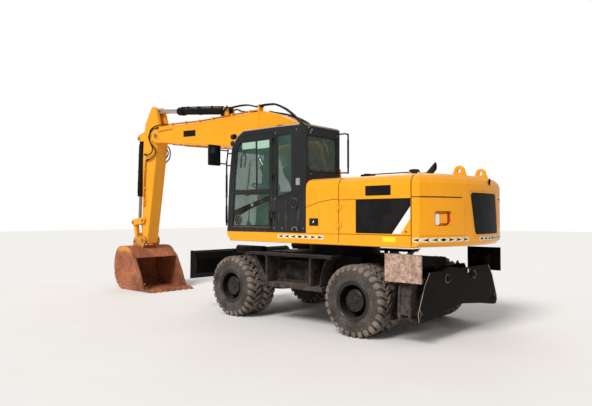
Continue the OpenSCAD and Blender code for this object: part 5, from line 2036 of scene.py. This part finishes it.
@dataclass(frozen=True)
class Barrel:
    """What is fixed to a ram's barrel, or to a pair of barrels on one body."""

    name: str
    joint: str
    length: float
    radius: float
    offsets: tuple[float, ...] = (0.0,)
    above: Point = UP

    def build(self) -> None:
        """Add gland nuts, bands, ports and pipes to each barrel, and a wiper at its head."""
        base = joint_place(f"{self.joint}_barrel_swing")
        along = Vector(JOINTS[f"{self.joint}_rod_slide"]["axis"]).normalized()
        across = along.cross(Vector(LEFT)).normalized()
        if across.dot(Vector(self.above)) < 0:
            across = -across
        form = Form(f"{self.name}_fittings")
        wiper = Form(f"{self.name}_wiper")
        for y in self.offsets:
            foot = Vector((base.x, y, base.z))
            self.bands(form, foot, along)
            self.ports(form, foot, along, across)
            for sine, cosine in circle(8, 0.5):
                out = across * cosine + Vector(LEFT) * sine
                form.bolt(foot + along * (self.length + 0.001) + out * (self.radius - 0.016), along, 0.007)
            profile = [(0, 0.050), (0.006, 0.054), (0.010, 0.0515), (0.0, 0.0505)]
            wiper.lathe(foot + along * (self.length + 0.001), along, profile, 40, closed=True)
        form.done(self.name, self.name, Coat.BLACK)
        wiper.done(self.name, self.name, Coat.STEEL)

    def bands(self, form: Form, foot: Vector, along: Vector) -> None:
        """Add the raised bands, each from its place, width and height.

        Args:
            form: the mesh.
            foot: where the barrel starts.
            along: its direction.
        """
        for place, wide, extra in ((0.16, 0.035, 0.010), (self.length * 0.55, 0.030, 0.007),
                                   (self.length - 0.17, 0.11, 0.018), (self.length - 0.02, 0.05, 0.012)):
            raised = self.radius + extra
            profile = [(0, self.radius), (0.004, raised), (wide - 0.004, raised), (wide, self.radius)]
            form.lathe(foot + along * place, along, profile, 40)

    def ports(self, form: Form, foot: Vector, along: Vector, across: Vector) -> None:
        """Add the pipe along one shoulder with its clamps, and the port on the other.

        Args:
            form: the mesh.
            foot: where the barrel starts.
            along: its direction.
            across: the way to its upper side.
        """
        side = Vector(LEFT)
        shoulder = (across * math.cos(0.5) + side * math.sin(0.5)).normalized()
        steps = ((0.13, -0.005), (0.15, 0.014), (0.26, 0.018), (self.length - 0.22, 0.018),
                 (self.length - 0.12, 0.014), (self.length - 0.10, -0.005))
        form.tube([foot + along * place + shoulder * (self.radius + off) for place, off in steps], 0.011,
                  8, 3)
        other = (across * math.cos(-0.5) + side * math.sin(-0.5)).normalized()
        profile = [(0, 0.022), (0.04, 0.022), (0.05, 0.016)]
        form.lathe(foot + along * 0.13 + other * (self.radius - 0.005), other, profile, 12)
        for share in (0.3, 0.58, 0.8):
            spot = foot + along * (self.length * share) + shoulder * (self.radius + 0.012)
            form.lathe(spot - along * 0.015, along, [(0, 0.024), (0.03, 0.024)], 10)


@dataclass
class BoomFittings:
    """Labels, pipes, hoses, clamps and pin covers of the boom, the stick and their rams."""

    half: float = 0.215
    stick_half: float = 0.14
    label: tuple[Pair, ...] = ((3.895, 3.459), (4.327, 3.478), (4.328, 3.612), (3.896, 3.592))
    top: tuple[Pair, ...] = (
        (1.96, 3.772), (2.12, 3.778), (2.81, 3.777), (3.78, 3.776), (4.40, 3.803), (4.98, 3.828))
    back: tuple[Pair, ...] = (
        (-0.160, 1.870), (-0.060, 1.885), (0.050, 1.960), (0.130, 2.070), (0.190, 2.240), (0.292, 2.650),
        (0.395, 2.940), (0.600, 3.207), (0.800, 3.342), (0.930, 3.445), (1.093, 3.600), (1.270, 3.720),
        (1.505, 3.829), (1.611, 3.850), (1.829, 3.864), (1.940, 3.850))
    spine: tuple[Pair, ...] = (
        (0.600, 3.180), (0.980, 3.440), (1.270, 3.570), (1.500, 3.654), (1.800, 3.729), (2.120, 3.748))

    barrels: tuple[Barrel, ...] = (
        Barrel("stick_barrel", "stick", 1.70, 0.080),
        Barrel("bucket_barrel", "bucket", 1.40, 0.068, above=AHEAD),
        Barrel("boom_barrels", "boom", 1.30, 0.066, (0.305, -0.305)))

    def build(self) -> None:
        """Build every fitting of the boom and stick."""
        self.labels()
        self.pipes()
        self.clamps()
        self.feeds()
        self.loops()
        self.stick_pipes()
        self.rams()
        self.pins()
        self.welds()

    def labels(self) -> None:
        """Lay a blank dark label on each side of the boom."""
        form = Form("boom_labels")
        for side in (1, -1):
            y = side * (self.half + OFF_PAINT)
            form.slab(on_side(self.label, y), (0, side * FILM, 0), 0.0)
        form.done("boom", "boom", Coat.DECAL)

    def pipes(self) -> None:
        """Run pipes along the boom's upper edges and under its belly, in a darker orange that is painted shade."""
        form = Form("boom_pipes")
        for side in (1, -1):
            for y in (0.150, 0.190):
                form.tube([(x, side * y, z + 0.004) for x, z in self.top], 0.0125, 10, 3)
            low = [(3.10, 3.150), (3.24, 3.163), (4.00, 3.253), (4.616, 3.330), (4.80, 3.358)]
            form.tube(on_side(low, side * 0.170), 0.012, 10, 2)
            nose = [(5.30, 3.690), (5.10, 3.702), (4.90, 3.704), (4.74, 3.700)]
            form.tube(on_side(nose, side * (self.half + 0.010)), 0.009, 8, 3)
        form.done("boom", "boom", Coat.SHADED_PIPE)

    def clamps(self) -> None:
        """Hold the pipes with clamps, and the hoses on a post at the hump."""
        form = Form("boom_clamps")
        for x in (2.20, 2.72, 3.35, 3.80, 4.30, 4.80):
            z = height_at(self.top, x)
            for side in (1, -1):
                form.block((x - 0.022, side * 0.132, z - 0.030), (x + 0.022, side * 0.208, z + 0.026))
                form.bolt((x, side * 0.170, z + 0.026), UP, 0.008)
        for x in (3.35, 3.90, 4.50):
            for side in (1, -1):
                z = 3.150 + 0.1255 * (x - 3.10)
                form.block((x - 0.018, side * 0.145, z - 0.018), (x + 0.018, side * 0.195, z + 0.030), 0.003)
        for side in (1, -1):
            top = 3.885 if side > 0 else 3.805
            form.block((1.915, side * 0.085, 3.735), (1.965, side * 0.205, top), 0.008)
            form.block((1.880, side * 0.085, 3.722), (2.000, side * 0.205, 3.745))
        form.done("boom", "boom", Coat.YELLOW)

    def feeds(self) -> None:
        """Lead hoses from the deck up the boom's back to the hump, and on to the stick's ram."""
        for number, y in enumerate((0.175, 0.125, -0.125, -0.175)):
            points = []
            for k, (x, z) in enumerate(self.back):
                if y < 0 and k > 8:
                    z = min(z, height_at(self.spine, x) + 0.024)
                points.append((x, y * (0.55 if k < 9 else 0.8 if k < 10 else 1.0), z))
            Route(f"boom_feed_{number}", "upper", "boom", 0.017, points, other="boom",
                  start=(-0.08, 0.0, 1.88), end=(0.20, 0.0, 2.30)).lay()
        for number, y in enumerate((0.165, 0.118, -0.118, -0.165)):
            inward = 0.125 if y > 0 else -0.125
            lower = 0.0 if y > 0 else 0.082
            points = ((1.965, y, 3.850 - lower), (2.08, y, 3.868 - lower), (2.311, y, 3.929 - lower),
                      (2.55, y, 3.945 - lower), (2.793, y, 3.943 - lower / 2),
                      (2.95, (y + inward) / 2, 3.962), (3.06, inward, 3.925), (3.10, inward, 3.850))
            Route(f"ram_feed_{number}", "boom", "boom", 0.014, points).lay()
        form = Form("ram_ports")
        for side in (1, -1):
            form.block((3.065, side * 0.101, 3.775), (3.135, side * 0.150, 3.850), 0.006)
        form.done("boom", "boom", Coat.BLACK)

    def loops(self) -> None:
        """Hang the hose loops that cross from the boom's tip to the stick."""
        first = ((4.990, 3.834), (5.200, 3.850), (5.412, 3.828), (5.591, 3.762), (5.705, 3.690),
                 (5.746, 3.597), (5.672, 3.468), (5.590, 3.345), (5.619, 3.240), (5.780, 3.187),
                 (5.918, 3.212))
        second = ((5.300, 3.790), (5.480, 3.770), (5.600, 3.690), (5.640, 3.580), (5.610, 3.466),
                  (5.526, 3.345), (5.470, 3.239), (5.540, 3.140), (5.700, 3.085), (5.850, 3.071))
        third = ((5.560, 3.420), (5.472, 3.387), (5.410, 3.320), (5.386, 3.230), (5.400, 3.142),
                 (5.440, 3.085), (5.520, 3.040), (5.600, 3.010))
        for side, name in ((1, "left"), (-1, "right")):
            for number, (line, y) in enumerate(((first, 0.190), (second, 0.176))):
                points = tuple((x, side * (0.236 if 5.25 < x < 5.66 and z > 3.42 else y), z) for x, z in line)
                Route(f"stick_loop_{number}_{name}", "boom", "stick", 0.0145, points, other="stick",
                      start=(5.43, 0.0, 3.72), end=(5.80, 0.0, 3.22)).lay()
        Route("stick_loop_rear", "boom", "stick", 0.015, on_side(third, -0.175), other="stick",
              start=(5.50, 0.0, 3.40), end=(5.46, 0.0, 3.07)).lay()

    def stick_pipes(self) -> None:
        """Run pipes down the stick's sides, in a darker orange that is painted shade, with clamps and a bracket."""
        pipes = Form("stick_pipes")
        clamps = Form("stick_clamps")
        for side in (1, -1):
            y = side * (self.stick_half + 0.014)
            for dx in (0.0, 0.036):
                line = ((5.86, 3.071 + dx), (5.925, 3.055), (5.945, 2.98), (5.960, 2.788), (5.990, 2.359),
                        (5.990, 1.95))
                pipes.tube([(x - dx, y, z) for x, z in line], 0.011, 8, 4)
            clamps.block((5.900, side * 0.140, 3.190), (5.960, side * 0.178, 3.235))
            for z in (2.85, 2.40, 2.02):
                x = 5.955 + 0.035 * (2.85 - z) / 0.83
                clamps.block((x - 0.062, side * 0.139, z - 0.020), (x + 0.022, side * 0.172, z + 0.020))
                clamps.bolt((x - 0.020, side * 0.172, z), (0, side, 0), 0.008)
            clamps.block((5.930, side * 0.139, 2.180), (6.010, side * 0.190, 2.205))
            clamps.block((5.930, side * 0.139, 2.060), (5.955, side * 0.190, 2.205))
        pipes.done("stick", "stick", Coat.SHADED_PIPE)
        clamps.done("stick", "stick", Coat.YELLOW)

    def rams(self) -> None:
        """Dress the barrels of the stick's, the bucket's and the boom's rams."""
        for barrel in self.barrels:
            barrel.build()

    def pins(self) -> None:
        """Cover the ends of the pins with keeper plates and bolts."""
        table = (("boom", 5.400, 3.610, 0.235, 0.052), ("boom", 3.050, 3.930, 0.101, 0.044),
                 ("stick", 5.940, 1.150, 0.225, 0.040), ("stick", 5.984, 1.624, 0.205, 0.036),
                 ("stick", 6.300, 3.640, 0.106, 0.040), ("power_link", 6.408, 1.574, 0.195, 0.032),
                 ("bucket", 6.303, 1.116, 0.216, 0.036))
        for number, (body, x, z, y, radius) in enumerate(table):
            form = Form(f"pin_covers_{number}")
            for side in (1, -1):
                cover = ((0, radius), (0.007, radius), (0.010, radius - 0.004), (0.010, 0.012),
                         (0.018, 0.010), (0.020, 0.006))
                form.lathe((x, side * y, z), (0, side, 0), cover, 28)
                for share in (0.62, -0.62):
                    form.bolt((x, side * (y + 0.009), z + radius * share), (0, side, 0), 0.007)
            form.done(body, body, Coat.STEEL)

    def welds(self) -> None:
        """Lay weld beads where plates meet on the boom and the stick."""
        form = Form("boom_welds")
        top = ((1.736, 3.725), (2.121, 3.748), (2.812, 3.747), (3.783, 3.746), (5.030, 3.800))
        low = ((5.152, 3.430), (4.616, 3.350), (3.239, 3.183), (2.717, 3.122), (2.200, 3.080))
        for side in (1, -1):
            for line, drop in ((top, -0.028), (low, 0.028)):
                form.tube([(x, side * self.half, z + drop) for x, z in line], 0.0045, 6, 1)
            for x, z0, z1 in ((4.72, 3.40, 3.76), (1.90, 3.07, 3.70)):
                form.tube(on_side(((x, z0), (x, z1)), side * self.half), 0.004, 6, 1)
        form.done("boom", "boom", Coat.YELLOW)
        form = Form("stick_welds")
        front = ((6.055, 3.10), (6.055, 2.10), (6.062, 1.60))
        rear = ((5.445, 3.40), (5.625, 2.345), (5.82, 1.25))
        for side in (1, -1):
            form.tube([(x - 0.026, side * self.stick_half, z) for x, z in front], 0.004, 6, 1)
            form.tube([(x + 0.026, side * self.stick_half, z) for x, z in rear], 0.004, 6, 1)
        form.done("stick", "stick", Coat.YELLOW)


def height_at(line: Sequence[Pair], x: float) -> float:
    """Return the height of a falling or rising line at that X."""
    for (xa, za), (xb, zb) in zip(line, line[1:]):
        if xa <= x <= xb:
            return za + (zb - za) * (x - xa) / (xb - xa)
    return line[-1][1]


@dataclass
class BucketFittings:
    """Wear plates, teeth, bolts, weld beads and worn strips of the bucket."""

    half: float = 0.59
    teeth: int = 7
    pitch: float = 0.17

    def build(self) -> None:
        """Build the bucket's small parts."""
        self.plates()
        self.worn_edges()
        self.bolts()
        self.welds()
        self.adapters()

    def plates(self) -> None:
        """Add the wear plates of the cheeks and heels, and the teeth."""
        plates = Form("bucket_wear_plates")
        edge = ((5.668, 0.757), (5.760, 0.842), (5.525, 0.400), (5.410, 0.080), (5.400, 0.009),
                (5.070, 0.005), (5.055, 0.014), (5.306, 0.057), (5.446, 0.377))
        heel = ((5.560, 0.006), (6.200, 0.012), (6.345, 0.063), (6.492, 0.252), (6.524, 0.340),
                (6.465, 0.325), (6.325, 0.150), (6.180, 0.095), (5.640, 0.090))
        tooth = ((5.100, 0.002), (4.965, 0.003), (4.945, 0.010), (4.955, 0.020), (5.070, 0.062),
                 (5.130, 0.066), (5.200, 0.045), (5.200, 0.005))
        for side in (1, -1):
            for outline, thick in ((edge, 0.019), (heel, 0.015)):
                plates.slab(on_side(outline, side * (self.half - 0.005)), (0, side * thick, 0))
        for k in range(self.teeth):
            plates.slab(on_side(tooth, -0.554 + self.pitch * k), (0, 0.088, 0))
        plates.done("bucket", "bucket", Coat.BUCKET)

    def worn_edges(self) -> None:
        """Draw the pale worn lines along the cheeks' edges."""
        strips = Form("bucket_worn_edges")
        front = ((5.775, 0.835), (5.690, 0.640), (5.575, 0.400), (5.500, 0.215))
        rear = ((6.545, 0.360), (6.500, 0.230), (6.350, 0.090), (5.900, 0.062), (5.700, 0.100),
                (5.560, 0.095))
        for side in (1, -1):
            for path in (front, rear):
                strips.tube(on_side(path, side * (self.half + 0.0145)), 0.005, 6, 3)
        strips.done("bucket", "bucket", Coat.SAND)

    def bolts(self) -> None:
        """Bolt the plates to the cheeks, inside and outside."""
        bolts = Form("bucket_bolts")
        for side in (1, -1):
            for x, z in ((5.36, 0.100), (5.24, 0.090), (5.42, 0.200), (5.30, 0.175), (5.47, 0.290),
                         (5.16, 0.062)):
                bolts.bolt((x, side * (self.half - 0.030), z), (0, -side, 0), 0.016)
            for x, z in ((5.35, 0.09), (5.43, 0.25), (5.50, 0.40), (5.57, 0.55)):
                bolts.bolt((x - 0.005, side * (self.half + 0.012), z), (0, side, 0), 0.014)
        bolts.done("bucket", "bucket", Coat.STEEL)

    def welds(self) -> None:
        """Lay weld beads round the shell and along its ribs."""
        welds = Form("bucket_welds")
        shell = ((5.85, 0.93), (6.02, 1.01), (6.33, 1.01), (6.48, 0.90), (6.56, 0.70), (6.57, 0.48),
                 (6.50, 0.25), (6.35, 0.06), (6.20, 0.02))
        for side in (1, -1):
            welds.tube([(x - 0.01, side * self.half, z - 0.012) for x, z in shell], 0.007, 6, 4)
            rib = ((5.60, 0.30), (5.78, 0.52), (5.98, 0.74), (6.16, 0.90))
            welds.tube(on_side(rib, side * (self.half + 0.001)), 0.005, 6, 3)
        for y in (-0.43, -0.14, 0.14, 0.43):
            line = ((6.5745, 0.60), (6.574, 0.46), (6.502, 0.246), (6.352, 0.056), (6.20, 0.0065))
            welds.tube([(x, y, max(z, 0.012)) for x, z in line], 0.005, 6, 3)
        welds.done("bucket", "bucket", Coat.BUCKET)

    def adapters(self) -> None:
        """Seat each tooth on an adapter with its pin."""
        adapters = Form("tooth_adapters")
        pin = ((0, 0.011), (0.004, 0.011), (0.006, 0.007))
        shoe = ((5.06, 0.020), (5.10, 0.066), (5.19, 0.058), (5.24, 0.045), (5.24, 0.030))
        for k in range(self.teeth):
            y = -0.51 + self.pitch * k
            adapters.slab(on_side(shoe, y - 0.050), (0, 0.100, 0), 0.006)
            adapters.lathe((5.125, y + 0.050, 0.040), LEFT, pin, 12)
        adapters.done("bucket", "bucket", Coat.BUCKET)


@dataclass
class Undercarriage:
    """Fasteners, sheets, shafts, hoses, and pale edge lines of wear and painted highlight on the chassis, blade,
    outriggers and steps.
    """

    plate_faces: tuple[tuple[float, int], ...] = ((-2.131, -1), (-1.699, 1))
    rear_face: float = -2.130
    foot_pin: Pair = (1.150, 0.400)
    head_pin: Pair = (0.360, 0.850)
    blade_bolts: int = 12

    def build(self) -> None:
        """Build what the undercarriage's solids leave out."""
        self.blade()
        self.outrigger_pins()
        self.outrigger_wear_and_highlights()
        self.outrigger_hoses()
        self.fenders()
        self.driveline()
        self.step_cover()
        self.axles()

    def blade(self) -> None:
        """Add the bolts of the blade's cutting edge."""
        low, high = [Vector(c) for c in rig.box("blade")]
        form = Form("blade_bolts")
        x = high.x - SLEW_X
        for k in range(self.blade_bolts):
            form.bolt((x - 0.002, -1.10 + 0.2 * k, low.z + 0.07), AHEAD, 0.014)
        form.done("blade", "blade", Coat.STEEL)

    def outrigger_pins(self) -> None:
        """Cover the outriggers' pins, and add the small lamp between them."""
        pins = Form("outrigger_pins")
        for side in (1, -1):
            for x, way in self.plate_faces:
                for (y, z), wide, high in ((self.foot_pin, 0.052, 0.022), (self.head_pin, 0.050, 0.020)):
                    cover = ((0, wide), (0.010, wide), (0.014, wide - 0.006), (0.014, 0.014), (high, 0.010))
                    pins.lathe((x, side * y, z), (way, 0, 0), cover, 30)
                y, z = self.foot_pin
                for angle in (0.6, 2.7, 4.8):
                    pins.bolt((x + way * 0.012, side * y + 0.034 * math.cos(angle),
                               z + 0.034 * math.sin(angle)), (way, 0, 0), 0.007)
        pins.done("undercarriage", "outrigger_frame", Coat.BLACK)
        lamp = Form("rear_spot")
        lamp.block((-2.146, -0.216, 0.884), (-2.129, -0.184, 0.944), 0.006)
        lamp.done("undercarriage", "outrigger_frame", Coat.LAMP)

    def outrigger_wear_and_highlights(self) -> None:
        """Draw pale lines along the outriggers' frame edges and a pale ring: partly rubbed paint, partly painted
        highlight.
        """
        wear = Form("outrigger_worn_and_lit_edges")
        for side in (1, -1):
            edge = ((0.925, 0.958), (1.057, 0.800), (1.231, 0.440), (1.208, 0.330))
            scar = ((1.190, 0.500), (1.135, 0.430))
            for line, radius in ((edge, 0.0045), (scar, 0.004)):
                wear.tube([(self.rear_face, side * y, z) for y, z in line], radius, 6, 1)
            # The pale ring on the rear face is partly painted highlight on a rounded rim.
            ring = []
            for sine, cosine in circle(24):
                ring.append((self.rear_face, side * (0.424 + 0.058 * cosine), 0.842 + 0.058 * sine))
            wear.tube(ring + ring[:1], 0.003, 6, 1)
        wear.done("undercarriage", "outrigger_frame", Coat.SAND)

    def outrigger_hoses(self) -> None:
        """Lead a hose to each outrigger's ram."""
        for side, name in ((1, "left"), (-1, "right")):
            points = ((-1.90, side * 0.300, 0.985), (-1.86, side * 0.420, 1.030),
                      (-1.80, side * 0.560, 1.000), (-1.795, side * 0.640, 0.930))
            Route(f"outrigger_hose_{name}", "undercarriage", "outrigger_frame", 0.012, points).lay()

    def driveline(self) -> None:
        """Add the gearbox below the chassis and the shafts to both axles."""
        form = Form("driveline")
        form.block((-0.330, -0.165, 0.425), (0.130, 0.165, 0.650), 0.016)
        for x, profile in ((0.120, ((0.0, 0.060), (0.070, 0.060), (0.070, 0.038), (1.079, 0.038))),
                           (-0.320, ((0.0, 0.060), (-0.070, 0.060), (-0.070, 0.038), (-0.594, 0.038)))):
            form.lathe((x, 0.0, 0.516), AHEAD, profile, 24)
        form.done("undercarriage", "chassis", Coat.BLACK)

    def step_cover(self) -> None:
        """Close the outer face of each step box with a dark sheet and its bolts."""
        form = Form("step_box_covers")
        for side in (1, -1):
            y = side * 0.9903
            form.slab(on_side(outline_box(-0.205, 0.645, 0.700, 0.985), y), (0, side * 0.004, 0), 0.001)
            for x in (-0.170, 0.220, 0.610):
                for z in (0.740, 0.950):
                    form.bolt((x, side * 0.994, z), (0, side, 0), 0.010)
        form.done("undercarriage", "side_steps", Coat.HOSE)

    def fenders(self) -> None:
        """Hang a slanted sheet with an outer gusset behind each front wheel."""
        form = Form("front_fender_sheets")
        for side in (1, -1):
            sheet = ((0.960, 1.088), (0.815, 0.655), (0.800, 0.655), (0.942, 1.088))
            form.slab(on_side(sheet, side * 1.030), (0, side * 0.200, 0))
            gusset = ((0.945, 1.085), (0.690, 0.760), (0.680, 0.656), (0.812, 0.656))
            form.slab(on_side(gusset, side * 1.214), (0, side * 0.014, 0))
        form.done("undercarriage", "side_steps", Coat.PLATE)

    def axles(self) -> None:
        """Lead a brake hose to each end of the front axle."""
        for side, name in ((1, "left"), (-1, "right")):
            points = ((1.42, side * 0.30, 0.80), (1.36, side * 0.36, 0.82), (1.33, side * 0.44, 0.74),
                      (1.38, side * 0.50, 0.63), (1.44, side * 0.52, 0.60))
            Route(f"brake_hose_{name}", "undercarriage", "front_axle", 0.009, points).lay()


def main() -> None:
    """Build every sub-assembly in order and keep the sizes."""
    for assembly in ASSEMBLIES:
        assembly().build()
        LOG.info("%s done", assembly.__name__)
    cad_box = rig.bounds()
    with open("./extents.json", "w", encoding="utf-8") as out:
        json.dump({"cad": plain(CAD_BOX), "visual": plain(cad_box)}, out)


def plain(corners: Iterable[Sequence[float]]) -> list[list[float]]:
    """Return a box's corners as plain lists."""
    return [[float(c) for c in corner] for corner in corners]


ASSEMBLIES: tuple[type, ...] = (Studio, NodeCoats, Wheels, BodyPanels, Cab, BoomFittings, BucketFittings,
                                Undercarriage)

if __name__ == "__main__":
    logging.basicConfig(level=logging.INFO, format="%(name)s: %(message)s")
    main()
